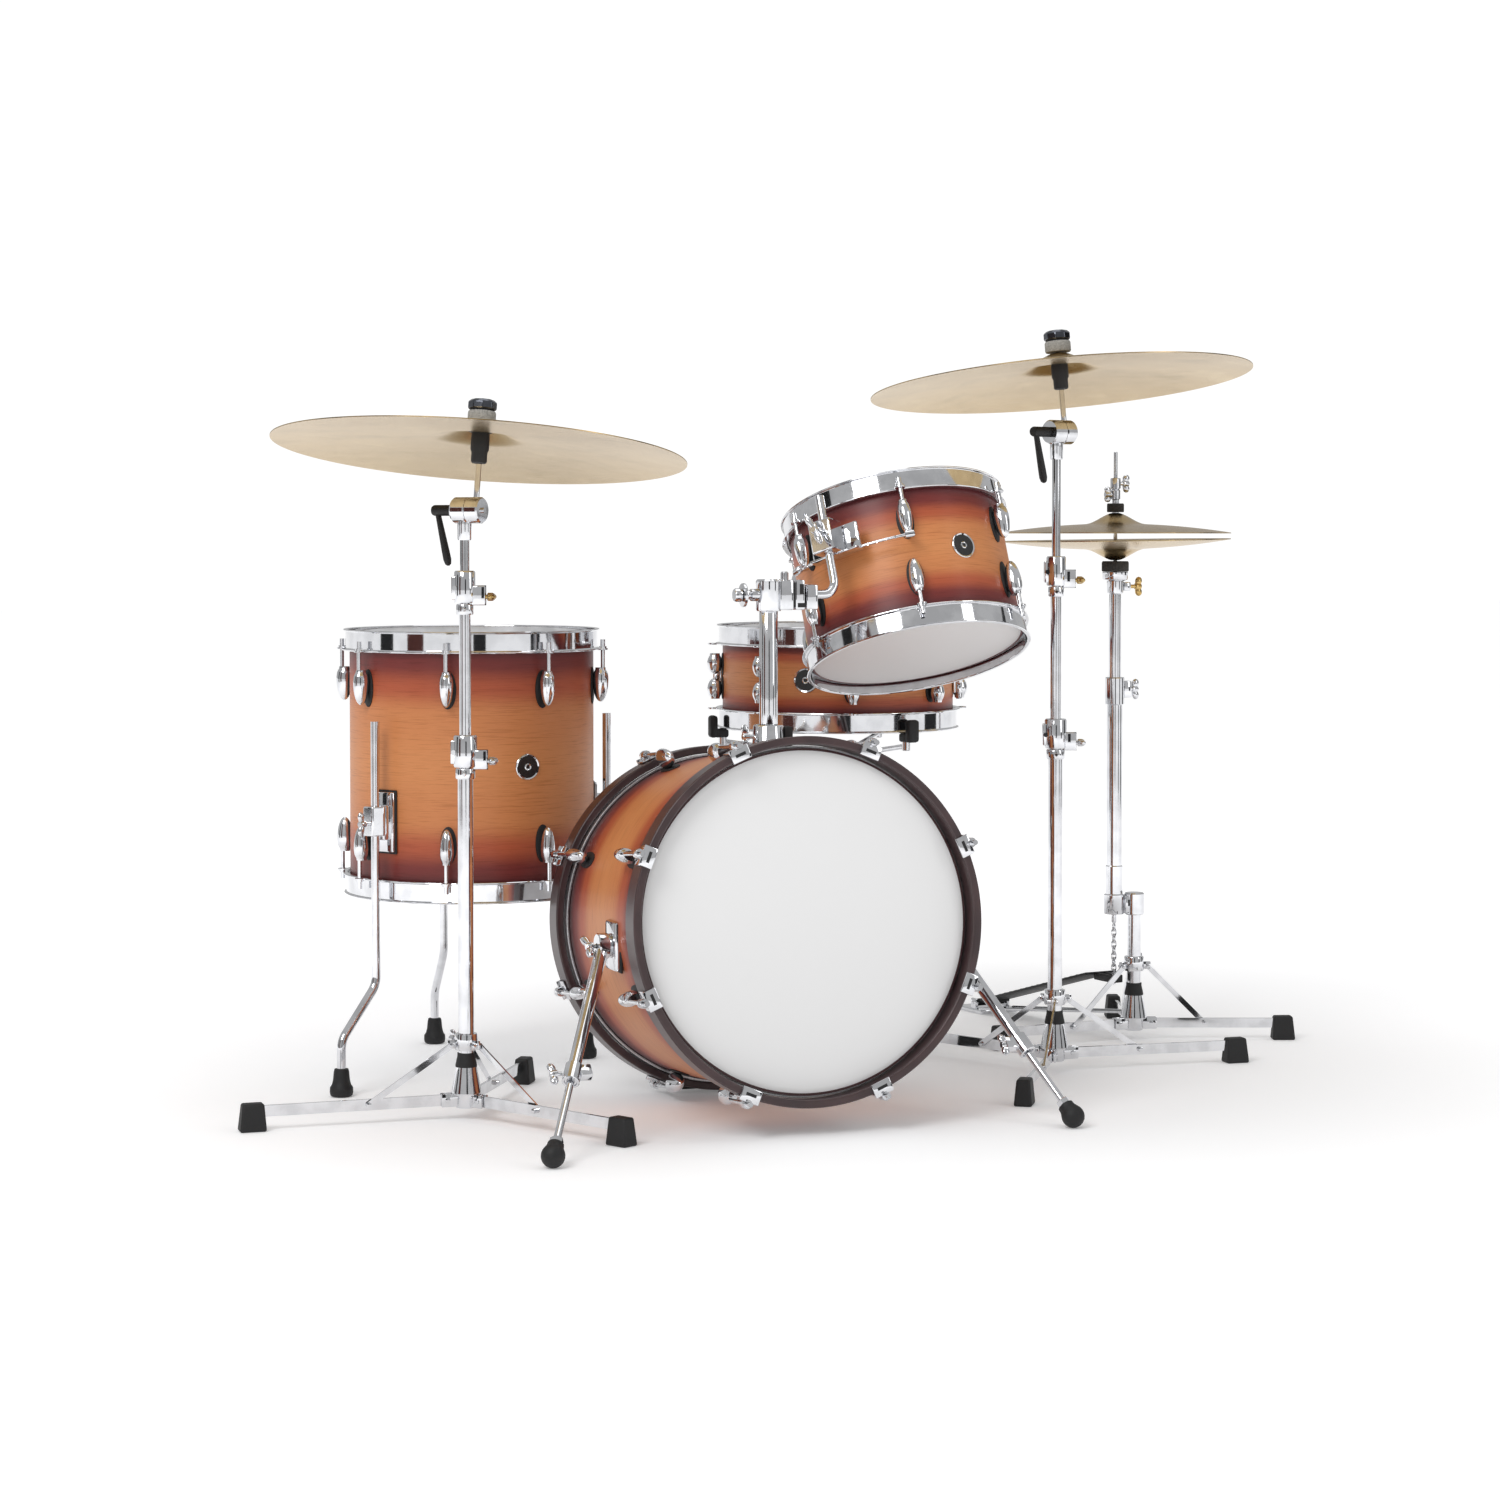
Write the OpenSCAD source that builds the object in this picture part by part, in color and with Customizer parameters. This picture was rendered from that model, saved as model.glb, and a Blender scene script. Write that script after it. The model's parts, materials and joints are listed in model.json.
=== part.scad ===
// Acoustic drum kit: bass drum, rack tom, floor tom, snare drum, hi-hat and two 22 inch cymbals on
// flat-base stands, with a bass-drum pedal. Millimetres, +Z up, drummer towards +Y.

/* [Placing] */
// Distance from the bass drum's centre to the middle of the whole kit, to the right
kit_cx = 144.2; // [100:0.1:200]
// Distance from the bass drum's centre to the middle of the whole kit, towards the drummer
kit_cy = 228.9; // [150:0.1:260]
// Ride stand's pole, from the bass drum's centre
ride_xy = [-400, 60]; // [-460:1:-380]
// Crash stand's pole, from the bass drum's centre
crash_xy = [512, 148]; // [500:1:560]
// Hi-hat's pull rod, from the bass drum's centre
hat_xy = [723, 386]; // [700:1:800]
// Floor tom's centre, from the bass drum's centre
floor_xy = [-293, 436]; // [-360:1:-280]
// Snare drum's centre, from the bass drum's centre
snare_xy = [306, 502]; // [300:1:340]

/* [Drums] */
// Outside diameter of the bass-drum shell
bass_d = 457; // [430:1:480]
// Length of the bass-drum shell
bass_len = 356; // [300:1:420]
// How far the front of the bass drum is raised, in degrees
bass_pitch = 5.4; // [3:0.1:7]
// Sideways place of the tom's post on the bass drum
post_x = 12; // [0:1:30]
// Outside diameter of the tom shell
tom_d = 305; // [250:1:330]
// Depth of the tom shell
tom_len = 203; // [160:1:230]
// How far the tom leans towards the drummer, in degrees
tom_tilt = 21; // [5:1:25]
// Outside diameter of the floor-tom shell
floor_d = 355.6; // [300:0.1:400]
// Depth of the floor-tom shell
floor_len = 356; // [300:1:400]
// Height of the floor-tom shell's lower edge
floor_lift = 281; // [250:1:320]
// Outside diameter of the snare-drum shell
snare_d = 355.6; // [330:0.1:360]
// Depth of the snare-drum shell
snare_len = 130; // [110:1:150]
// Height of the snare-drum shell's lower edge
snare_lift = 506; // [500:1:560]
// Thickness of every shell
shell_t = 7; // [5:0.5:9]
// Tension rod diameter
rod_d = 6; // [5:0.5:7]

/* [Hoops] */
// Radial thickness of the bass drum's wooden hoops
wood_hoop_t = 11; // [9:0.5:13]
// Width of the wooden hoops
wood_hoop_w = 38; // [34:1:42]
// How far a wooden hoop stands past the shell's edge
wood_hoop_over = 22; // [18:1:25]
// Sheet thickness of the flanged steel hoops
steel_t = 2.3; // [1.6:0.1:3]
// How far a steel hoop stands past the shell's edge
steel_over = 14.5; // [12:0.5:18]
// How far a steel hoop reaches back over the shell
steel_back = 16.5; // [15:0.5:20]

/* [Cymbals] */
// Diameter of the ride and the crash
cymbal_d = 559; // [500:1:570]
// Diameter of the hi-hat cymbals
hat_d = 356; // [330:1:370]
// Cymbal metal thickness
cymbal_t = 1.4; // [1:0.1:2]
// Height of the ride from rim to bell top
ride_rise = 38; // [34:1:48]
// Height of the crash from rim to bell top
crash_rise = 46; // [38:1:50]
// Lean of the ride's rod, in degrees
ride_lean = 8; // [0:1:15]
// Lean of the crash's rod, in degrees
crash_lean = 7; // [0:1:15]
// Length from the tilter's axis to the top of a bell
bell_reach = 118; // [110:1:125]

/* [Stands] */
// Base tube diameter
base_tube_d = 21; // [20:0.5:24]
// Middle tube diameter
mid_tube_d = 15.9; // [15:0.1:17]
// Top tube diameter
top_tube_d = 12.7; // [12:0.1:13.5]
// Height of the lower joint clamps' tops
clamp_low_z = 524; // [510:1:540]
// Height of the ride's upper clamp top
ride_clamp_z = 741; // [700:1:760]
// Height of the crash's upper clamp top
crash_clamp_z = 758; // [720:1:800]
// Height of the ride's tilter axis
ride_tilter_z = 821; // [810:1:860]
// Height of the crash's tilter axis
crash_tilter_z = 938; // [930:1:980]
// Reach of a stand's legs from its pole
leg_reach = 306; // [290:1:330]
// Height of the flat leg bars
leg_h = 15; // [12:1:18]
// Thickness of the flat leg bars
leg_t = 5; // [4:0.5:8]
// Height of the pull rod's top
hat_rod_top = 917; // [905:1:960]
// Height of the hi-hat's cymbal seat
hat_seat_z = 748; // [735:1:760]
// Gap between the open hi-hat cymbals' rims
hat_gap = 12; // [10:1:20]

/* [Fits] */
// Radial clearance of a sliding tube or a turning pin
fit = 0.08; // [0.05:0.01:0.1]
// Gap between faces that slide past each other
gap = 0.4; // [0.3:0.1:0.8]

/* [Hidden] */
$fn = 96;

steel = [0.78, 0.79, 0.81];
dark_wood = [0.25, 0.17, 0.17];
amber = [0.72, 0.42, 0.22];
bronze = [0.76, 0.68, 0.5];
rubber = [0.08, 0.08, 0.08];
white = [0.92, 0.92, 0.92];

// ---- shared shapes ----
module kit() translate([-kit_cx, -kit_cy, 0]) children();

// Round bar from p to q.
module rod(p, q, d) {
    v = q - p;
    translate(p) rotate([0, acos(v[2] / norm(v)), atan2(v[1], v[0])]) cylinder(d = d, h = norm(v));
}

// Flat bar on edge from p to q, w high and t thick.
module bar(p, q, w, t) {
    v = q - p;
    translate(p) rotate([0, acos(v[2] / norm(v)), atan2(v[1], v[0])])
        translate([-w / 2, -t / 2, 0]) cube([w, t, norm(v)]);
}

// Tube from z0 to z1 on the Z axis.
module tube(z0, z1, d, bore) difference() {
    translate([0, 0, z0]) cylinder(d = d, h = z1 - z0);
    translate([0, 0, z0 - 1]) cylinder(d = bore, h = z1 - z0 + 2);
}

// T-shaped key on a stem along +X, its bar upright.
module wing_key(stem, width = 26) {
    rotate([0, 90, 0]) cylinder(d = 6, h = stem);
    translate([stem, 0, 0]) rotate([0, 90, 0]) cylinder(d = 11, h = 6);
    translate([stem + 6, 0, 0]) cube([4, 7, width], center = true);
}

// ---- drum parts, centred on the Z axis, both ends alike ----
module both_ends() {
    children();
    mirror([0, 0, 1]) children();
}

module drum_shell(d, len) tube(-len / 2, len / 2, d, d - 2 * shell_t);

// Film with its flesh ring, the ring reaching from ring_lo to ring_hi below the shell's edge.
module drum_head(d, len, ring_lo, ring_hi, ring_t) {
    r = d / 2;
    e = len / 2;
    both_ends() rotate_extrude() polygon([[0, e], [r + 0.2, e], [r + 0.2, e - ring_lo],
        [r + ring_t, e - ring_lo], [r + ring_t, e - ring_hi], [r + 0.8, e - ring_hi],
        [r + 0.8, e + 0.6], [0, e + 0.6]]);
}

// Flanged steel hoop with an eared flange for n tension rods.
steel_gap = 3.6;
rod_out = 16;
module steel_hoop(d, len, n, turn) {
    r = d / 2 + steel_gap;
    e = len / 2;
    low = e - steel_back;
    high = e + steel_over;
    both_ends() difference() {
        union() {
            rotate_extrude() polygon([[r, low], [r + 8, low], [r + 8, low + steel_t],
                [r + steel_t, low + steel_t], [r + steel_t, high - steel_t],
                [r + steel_t + 3, high - steel_t], [r + steel_t + 3, high], [r, high], [r, e - 2],
                [r - 2.6, e - 2], [r - 2.6, e - 4], [r, e - 4]]);
            for (i = [0:n - 1]) rotate(turn + 360 / n * i)
                translate([d / 2 + rod_out, 0, low]) cylinder(d = 15, h = steel_t);
        }
        for (i = [0:n - 1]) rotate(turn + 360 / n * i)
            translate([d / 2 + rod_out, 0, low - 1]) cylinder(d = rod_d + 1, h = steel_t + 2);
    }
}

// Bullet lug standing off the shell, its nose away from the hoop.
module lug(d, e, reach, len) {
    translate([d / 2 + reach, 0, e]) mirror([0, 0, 1]) rotate_extrude()
        polygon([[0, 0], [6.5, 0], [9.5, 5], [9.5, len * 0.45], [7, len * 0.78], [3, len], [0, len]]);
}

module lug_row(d, len, n, turn, reach, start, lug_len) both_ends() {
    for (i = [0:n - 1]) rotate(turn + 360 / n * i) lug(d, len / 2 - start, reach, lug_len);
    difference() {
        for (i = [0:n - 1]) rotate(turn + 360 / n * i)
            translate([d / 2 - 3, 0, len / 2 - start - lug_len * 0.42]) rotate([0, 90, 0])
                cylinder(r = 7, h = reach - 4);
        cylinder(d = d, h = len / 2);
    }
}

// Tension rod with a square-drive head, from the lug's mouth to past the hoop's flange.
module steel_rods(d, len, n, turn, start) both_ends()
    for (i = [0:n - 1]) rotate(turn + 360 / n * i) translate([d / 2 + rod_out, 0, 0]) {
        low = len / 2 - start;
        seat = len / 2 - steel_back + steel_t;
        translate([0, 0, low]) cylinder(d = rod_d, h = seat - low);
        translate([0, 0, seat]) cylinder(d = 11, h = 3);
        translate([0, 0, seat + 3]) cylinder(d = 7, h = 10);
    }

// ---- bass drum: local Z along the drum towards the audience, local Y up ----
hoop_r = bass_d / 2 + 4.5 + wood_hoop_t;
bass_half = bass_len / 2 + wood_hoop_over;
bass_z = hoop_r * cos(bass_pitch) + bass_half * sin(bass_pitch);
claw_r = hoop_r + 8;
bass_lug_start = 42;
bass_lug_len = 52;
bass_count = 8;
bass_turn = 22.5;
module bass_frame() kit() translate([0, 0, bass_z]) rotate([90 - bass_pitch, 0, 0]) children();

vent_d = 16;
vent_turn = 10;
post_d = 25.4;
module bass_shell() color(amber) difference() {
    bass_frame() difference() {
        drum_shell(bass_d, bass_len);
        rotate(vent_turn) translate([bass_d / 2 - 20, 0, 0]) rotate([0, 90, 0])
            cylinder(d = vent_d, h = 40);
    }
    kit() translate([post_x, 0, bass_z + 100]) cylinder(d = post_d + 6, h = 200);
}

module bass_hoops() color(dark_wood) bass_frame() both_ends()
    translate([0, 0, bass_half - wood_hoop_w]) difference() {
        cylinder(r = hoop_r, h = wood_hoop_w);
        translate([0, 0, -1]) cylinder(r = hoop_r - wood_hoop_t, h = wood_hoop_w + 2);
    }

module bass_heads() color(white) bass_frame() drum_head(bass_d, bass_len, 26, 10, 3.8);

module bass_lugs() color(steel) bass_frame()
    lug_row(bass_d, bass_len, bass_count, bass_turn, claw_r - bass_d / 2, bass_lug_start,
        bass_lug_len);

claw_w = 30;
module bass_claws() color(steel) bass_frame() both_ends()
    for (i = [0:bass_count - 1]) rotate(bass_turn + 360 / bass_count * i) difference() {
        union() {
            translate([hoop_r - wood_hoop_t, -claw_w / 2, bass_half])
                cube([wood_hoop_t + 3, claw_w, 3]);
            translate([hoop_r + 0.5, -claw_w / 2, bass_half - 26]) cube([2.5, claw_w, 29]);
            translate([claw_r, 0, bass_half - 14]) cylinder(d = 11.5, h = 14);
            translate([hoop_r + 2, -5, bass_half - 14]) cube([6, 10, 14]);
        }
        translate([claw_r, 0, bass_half - 15]) cylinder(d = rod_d + 1, h = 20);
    }

module bass_tension_rods() color(steel) bass_frame() both_ends()
    for (i = [0:bass_count - 1]) rotate(bass_turn + 360 / bass_count * i)
        translate([claw_r, 0, 0]) {
            low = bass_len / 2 - bass_lug_start;
            translate([0, 0, low]) cylinder(d = rod_d, h = bass_half - low);
            translate([0, 0, bass_half]) cylinder(d = 10, h = 4);
            translate([0, 0, bass_half + 4]) cylinder(d = 7, h = 9);
        }

// ---- spurs: a hinge head on each side of the bass drum, a tube and a sliding rod ----
spur_feet = [[-384, -309], [344, -274]];
spur_z = 242;
spur_y = -60;
spur_boss = 8;
spur_head = 16;
spur_tube_d = 17;
spur_rod_d = 10;
spur_ball_r = 15.5;
spur_x = sqrt(pow(bass_d / 2, 2) - pow(bass_z - spur_z, 2)) + spur_boss;
function spur_hub(side) = [side * (spur_x + gap + spur_head / 2), spur_y, spur_z];
function spur_foot(side) = concat(spur_feet[side < 0 ? 0 : 1], [spur_ball_r]);
function spur_dir(side) = (spur_foot(side) - spur_hub(side)) / norm(spur_foot(side) - spur_hub(side));
function spur_len(side) = norm(spur_foot(side) - spur_hub(side));
spur_tube_share = 0.66;

module spur_brackets() color(steel) for (side = [-1, 1]) {
    difference() {
        kit() translate([0, spur_y, spur_z]) {
            rod([side * (spur_x - 30), 0, 0], [side * spur_x, 0, 0], 36);
            translate([side * (spur_x - 17), 0, 0]) cube([26, 44, 54], center = true);
        }
        bass_frame() cylinder(d = bass_d, h = bass_len, center = true);
    }
    kit() translate([0, spur_y, spur_z]) {
        rod([side * (spur_x - 5), 0, 0], [side * (spur_x + spur_head + 10), 0, 0], 8);
        translate([side * (spur_x + spur_head + 12), 0, 0]) cube([6, 34, 10], center = true);
    }
}

module spur_tube(side) {
    h = spur_hub(side);
    u = spur_dir(side);
    end = spur_len(side) * spur_tube_share;
    kit() difference() {
        union() {
            rod(h - [side * spur_head / 2, 0, 0], h + [side * spur_head / 2, 0, 0], 36);
            rod(h + 6 * u, h + end * u, spur_tube_d);
            rod(h + (end - 22) * u, h + end * u, spur_tube_d + 6);
        }
        rod(h - [side * spur_head, 0, 0], h + [side * spur_head, 0, 0], 8 + 2 * fit);
        rod(h + 24 * u, h + (end + 1) * u, spur_rod_d + 2 * fit);
    }
}

module spur_rod(side) {
    h = spur_hub(side);
    u = spur_dir(side);
    len = spur_len(side);
    color(steel) kit() rod(h + 116 * u, h + (len - 20) * u, spur_rod_d);
    color(rubber) kit() union() {
        translate(h + len * u) sphere(r = spur_ball_r);
        rod(h + (len - 20) * u, h + len * u, 20);
        rod(h + (len - 34) * u, h + (len - 26) * u, 22);
        rod(h + (len - 28) * u, h + (len - 19) * u, 14);
    }
}

module spur_tube_left() color(steel) spur_tube(-1);
module spur_tube_right() color(steel) spur_tube(1);
module spur_rod_left() spur_rod(-1);
module spur_rod_right() spur_rod(1);

// ---- tom holder: base on the bass drum, post, and an L-shaped arm into the tom's mount ----
arm_z = 706;
arm_reach = 100;
arm_d = 12.7;
post_in = 70;
post_foot = bass_z + bass_d / 2;
holder_w = 34;
module post_base() color(steel) difference() {
    kit() translate([post_x, 0, post_foot]) {
        translate([0, 0, -12]) cylinder(d = 50, h = 48);
        translate([-35, -24, -20]) cube([70, 48, 26]);
        translate([-24, 0, 20]) rotate(180) wing_key(14);
    }
    bass_frame() cylinder(d = bass_d, h = bass_len, center = true);
    kit() translate([post_x, 0, 0]) cylinder(d = post_d + 2 * fit, h = 900);
}

module tom_post() color(steel) kit() translate([post_x, 0, 0]) difference() {
    union() {
        translate([0, 0, post_foot - post_in])
            cylinder(d = post_d, h = arm_z - 10 - post_foot + post_in);
        translate([0, 0, arm_z - 22]) cylinder(d = holder_w, h = 44);
        translate([0, -16, arm_z - 20]) cube([66, 32, 40]);
        translate([-holder_w / 2 + 2, 0, arm_z]) rotate(180) wing_key(16);
    }
    rod([22, 0, arm_z], [80, 0, arm_z], arm_d + 2 * fit);
}

tom_az = 97.4;
tom_mount_out = 48.4;
tom_mount_turn = 120.7;
tom_drop = 53.5;
arm_up = 145;
arm_corner = [post_x + arm_reach, 0, arm_z];
tx = [cos(tom_az) * cos(tom_tilt), sin(tom_az) * cos(tom_tilt), -sin(tom_tilt)];
ty = [-sin(tom_az), cos(tom_az), 0];
tz = [cos(tom_az) * sin(tom_tilt), sin(tom_az) * sin(tom_tilt), cos(tom_tilt)];
tom_mount_r = tom_d / 2 + tom_mount_out;
tom_c = arm_corner + tom_drop * tz
    - tom_mount_r * (cos(tom_mount_turn) * tx + sin(tom_mount_turn) * ty);
module tom_frame() kit() translate(tom_c) rotate([0, 0, tom_az]) rotate([0, tom_tilt, 0])
    children();

module tom_arm() color(steel) kit() union() {
    rod([post_x + 26, 0, arm_z], arm_corner, arm_d);
    translate(arm_corner) sphere(d = arm_d + 1.6);
    rod(arm_corner, arm_corner + arm_up * tz, arm_d);
}

tom_count = 6;
tom_turn = 35;
module tom_mount() color(steel) tom_frame() difference() {
    rotate(tom_mount_turn) union() {
        translate([tom_mount_r, 0, 30]) cube([40, 34, 46], center = true);
        translate([tom_d / 2 + 26, 0, 30]) cube([10, 86, 30], center = true);
        for (side = [-1, 1]) translate([tom_d / 2 - 8, side * 32, 30]) rotate([0, 90, 0])
            cylinder(d = 14, h = 32);
    }
    cylinder(d = tom_d, h = tom_len, center = true);
    rotate(tom_mount_turn) translate([tom_mount_r, 0, -60]) cylinder(d = arm_d + 2 * fit, h = 200);
}

small_lug_start = 34;
small_lug_len = 50;
module tom_shell() color(amber) tom_frame() drum_shell(tom_d, tom_len);
module tom_hoops() color(steel) tom_frame() steel_hoop(tom_d, tom_len, tom_count, tom_turn);
module tom_heads() color(white) tom_frame() drum_head(tom_d, tom_len, 14, 4, 3.2);
module tom_lugs() color(steel) tom_frame()
    lug_row(tom_d, tom_len, tom_count, tom_turn, rod_out, small_lug_start, small_lug_len);
module tom_tension_rods() color(steel) tom_frame()
    steel_rods(tom_d, tom_len, tom_count, tom_turn, small_lug_start);

// ---- floor tom on three bent legs ----
floor_count = 8;
floor_turn = 19.5;
floor_legs = [213, 357, 88];
floor_leg_r = floor_d / 2 + 25;
floor_leg_d = 12.7;
floor_leg_top = 524;
floor_toe_out = 70;
// Which way each leg's foot points: the right one is turned in its bracket to clear the pedal.
floor_toes = [213, 100, 88];
floor_lug_start = 42;
floor_mid = floor_lift + floor_len / 2;
module floor_frame() kit() translate([floor_xy[0], floor_xy[1], floor_mid]) children();

module floor_tom_shell() color(amber) floor_frame() drum_shell(floor_d, floor_len);
module floor_tom_hoops() color(steel) floor_frame()
    steel_hoop(floor_d, floor_len, floor_count, floor_turn);
module floor_tom_heads() color(white) floor_frame() drum_head(floor_d, floor_len, 14, 4, 3.2);
module floor_tom_lugs() color(steel) floor_frame()
    lug_row(floor_d, floor_len, floor_count, floor_turn, rod_out, floor_lug_start, small_lug_len);
module floor_tom_tension_rods() color(steel) floor_frame()
    steel_rods(floor_d, floor_len, floor_count, floor_turn, floor_lug_start);

leg_bracket_lo = 350;
leg_bracket_hi = 410;
module floor_tom_brackets() color(steel) for (turn = floor_legs) difference() {
    kit() translate([floor_xy[0], floor_xy[1], 0]) rotate(turn) {
        translate([floor_d / 2 - 4, -15, leg_bracket_lo])
            cube([floor_leg_r - floor_d / 2 + 16, 30, leg_bracket_hi - leg_bracket_lo]);
        translate([floor_d / 2 - 4, -19, leg_bracket_lo - 16]) cube([8, 38, 92]);
        translate([floor_leg_r + 11, 0, leg_bracket_lo + 30]) wing_key(10);
    }
    floor_frame() cylinder(d = floor_d, h = floor_len + 40, center = true);
    kit() translate([floor_xy[0], floor_xy[1], 0]) rotate(turn)
        translate([floor_leg_r, 0, leg_bracket_lo - 1]) cylinder(d = floor_leg_d + 2 * fit, h = 90);
}

module floor_tom_leg(i) kit() translate([floor_xy[0], floor_xy[1], 0])
    translate(polar(floor_legs[i], floor_leg_r, 0)) rotate(floor_toes[i]) {
    color(steel) union() {
        translate([0, 0, 150]) cylinder(d = floor_leg_d, h = floor_leg_top - 150);
        translate([0, 0, 150]) sphere(d = floor_leg_d);
        rod([0, 0, 150], [floor_toe_out, 0, 78], floor_leg_d);
        translate([floor_toe_out, 0, 78]) sphere(d = floor_leg_d);
        translate([floor_toe_out, 0, 14]) cylinder(d = floor_leg_d, h = 64);
    }
    color(rubber) translate([floor_toe_out, 0, 0]) difference() {
        rotate_extrude() polygon([[0, 0], [11, 0], [16, 5], [16.5, 14], [11, 30], [10.5, 40], [0, 40]]);
        translate([0, 0, 14]) cylinder(d = floor_leg_d, h = 30);
    }
}
module floor_tom_leg_front() floor_tom_leg(0);
module floor_tom_leg_right() floor_tom_leg(1);
module floor_tom_leg_rear() floor_tom_leg(2);

// ---- flat-base stands: ride, crash, hi-hat column and snare stand ----
hat_column_off = 31;
hat_column_z = 228;
column_xy = [hat_xy[0] + hat_column_off, hat_xy[1] - 8];
// Each stand: pole, leg reach, directions of its three legs, collar height.
stands = [
    [ride_xy, leg_reach, [59, 179, 299], 107],
    [crash_xy, leg_reach, [-3, 117, 237], 112],
    [column_xy, 250, [-18, 72, 185], 122],
    [snare_xy, 200, [30, 150, 270], 107]];
hub_z = 27;
foot_h = 37;
foot_w = 34;
function polar(turn, r, z) = [cos(turn) * r, sin(turn) * r, z];
module each_stand() for (s = stands) kit() translate([s[0][0], s[0][1], 0]) {
    $reach = s[1];
    $turns = s[2];
    $collar = s[3];
    children();
}

pin_d = 4;
brace_side = leg_t / 2 + 1.8;
function brace_top(turn) = polar(turn, 21, $collar - 6);
function brace_pin(turn) = polar(turn, $reach * 0.44, hub_z);
// The two pins that hold each leg's brace.
module brace_pins() for (turn = $turns) {
    side = polar(turn + 90, 7.7, 0);
    rod(brace_top(turn) - side / 2, brace_top(turn) + side, pin_d);
    rod(brace_pin(turn) - side, brace_pin(turn) + side, pin_d);
}

module stand_legs() color(steel) each_stand() difference() {
    for (turn = $turns)
        bar(polar(turn, 20, hub_z), polar(turn, $reach - foot_w / 2, hub_z - 1), leg_h, leg_t);
    brace_pins();
}

module stand_braces() color(steel) each_stand() {
    for (turn = $turns) {
        side = polar(turn + 90, brace_side, 0);
        bar(brace_top(turn) + side, brace_pin(turn) + side, 8, 2.5);
    }
    brace_pins();
}

module stand_feet() color(rubber) each_stand() for (turn = $turns)
    rotate(turn) translate([$reach - foot_w / 2, 0, 0]) difference() {
        translate([0, -12, 0]) cube([foot_w, 24, foot_h]);
        translate([-1, -leg_t / 2, hub_z - 2 - leg_h / 2]) cube([1.6, leg_t, leg_h + 2]);
    }

module stand_hubs() color(steel) each_stand() {
    difference() {
        union() {
            translate([0, 0, hub_z + 9]) rotate_extrude() polygon([[0, 0], [20.5, 0], [14.5, 34],
                [14.5, 52], [0, 52]]);
            translate([0, 0, $collar - 13]) cylinder(d = base_tube_d + 10, h = 22);
            for (turn = $turns) rotate(turn) {
                translate([11, -8, hub_z - 9]) cube([23, 5, 19]);
                translate([11, 3, hub_z - 9]) cube([23, 5, 19]);
                translate([13, -1.6, $collar - 11]) cube([13, 3.2, 12]);
            }
            translate([0, 0, hub_z - 11]) cylinder(d = 30, h = 22);
            rotate($turns[0] + 60) translate([base_tube_d / 2 + 3, 0, $collar - 1]) wing_key(9, 20);
        }
        translate([0, 0, hub_z + 8]) cylinder(d = base_tube_d, h = 200);
        brace_pins();
    }
}

clamp_h = 60;
base_top = clamp_low_z - 4;
snare_tube_top = 380;
module stand_base_tubes() color(steel) {
    for (xy = [ride_xy, crash_xy]) kit() translate([xy[0], xy[1], 0])
        tube(hub_z + 9, base_top - clamp_h, base_tube_d, mid_tube_d + 2 * fit);
    kit() translate([column_xy[0], column_xy[1], 0])
        tube(hub_z + 9, hat_column_z - 30, base_tube_d, mid_tube_d);
    kit() translate([snare_xy[0], snare_xy[1], 0])
        tube(hub_z + 9, snare_tube_top, base_tube_d, mid_tube_d + 2 * fit);
}

// Tube clamp with its wing screw, its top at z.
module tube_clamp(z, d, bore, turn) {
    difference() {
        union() {
            translate([0, 0, z - clamp_h]) cylinder(d = d + 6, h = clamp_h);
            rotate(turn) translate([0, -8, z - clamp_h + 6]) cube([d / 2 + 10, 16, 26]);
            rotate(turn) translate([-d / 2 - 6, -8, z - clamp_h + 30]) cube([d + 10, 16, 22]);
        }
        translate([0, 0, z - clamp_h - 1]) cylinder(d = bore, h = clamp_h + 2);
    }
    rotate(turn) translate([d / 2 + 9, 0, z - clamp_h + 20]) wing_key(6);
}

module stand_clamps() color(steel) {
    for (xy = [ride_xy, crash_xy]) kit() translate([xy[0], xy[1], 0])
        tube_clamp(base_top, base_tube_d, mid_tube_d + 2 * fit, -20);
    kit() translate([snare_xy[0], snare_xy[1], 0])
        tube_clamp(snare_tube_top + clamp_h, base_tube_d, mid_tube_d + 2 * fit, 60);
}

// ---- cymbal stands' sliding tubes ----
module mid_tube(xy, clamp_z) color(steel) kit() translate([xy[0], xy[1], 0]) {
    tube(clamp_low_z - 230, clamp_z - clamp_h, mid_tube_d, top_tube_d + 2 * fit);
    tube_clamp(clamp_z, mid_tube_d + 2, top_tube_d + 2 * fit, -20);
}
module ride_mid_tube() mid_tube(ride_xy, ride_clamp_z);
module crash_mid_tube() mid_tube(crash_xy, crash_clamp_z);

tilter_d = 35;
tilter_in = 15;
tilter_face = 7;
tilter_out = 28;
rod_side = 17;
cymbal_rod_d = 8;
// Tilter frame: local Z up, hinge axis along local -Y, the rod leaning towards local +X.
module tilter_at(xy, z, turn) kit() translate([xy[0], xy[1], z]) rotate(turn) children();

module top_tube(xy, clamp_z, z, turn) {
    color(steel) kit() translate([xy[0], xy[1], 0])
        translate([0, 0, clamp_z - clamp_h - 70]) cylinder(d = top_tube_d, h = z - clamp_z + clamp_h + 60);
    color(steel) tilter_at(xy, z, turn) {
        rod([0, tilter_in, 0], [0, -tilter_face, 0], tilter_d);
        rod([0, -tilter_face, 0], [0, -tilter_out - 3, 0], 7);
        translate([0, 2, -32]) cylinder(r = tilter_face + 2, h = 20);
    }
    color(rubber) tilter_at(xy, z, turn) {
        rod([0, tilter_in, 0], [0, tilter_in + 34, 0], 15);
        rod([0, tilter_in + 27, 0], [-4, tilter_in + 40, -52], 11);
    }
}
ride_turn = 45.8;
crash_turn = 109.5;
module ride_top_tube() top_tube(ride_xy, ride_clamp_z, ride_tilter_z, ride_turn);
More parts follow.
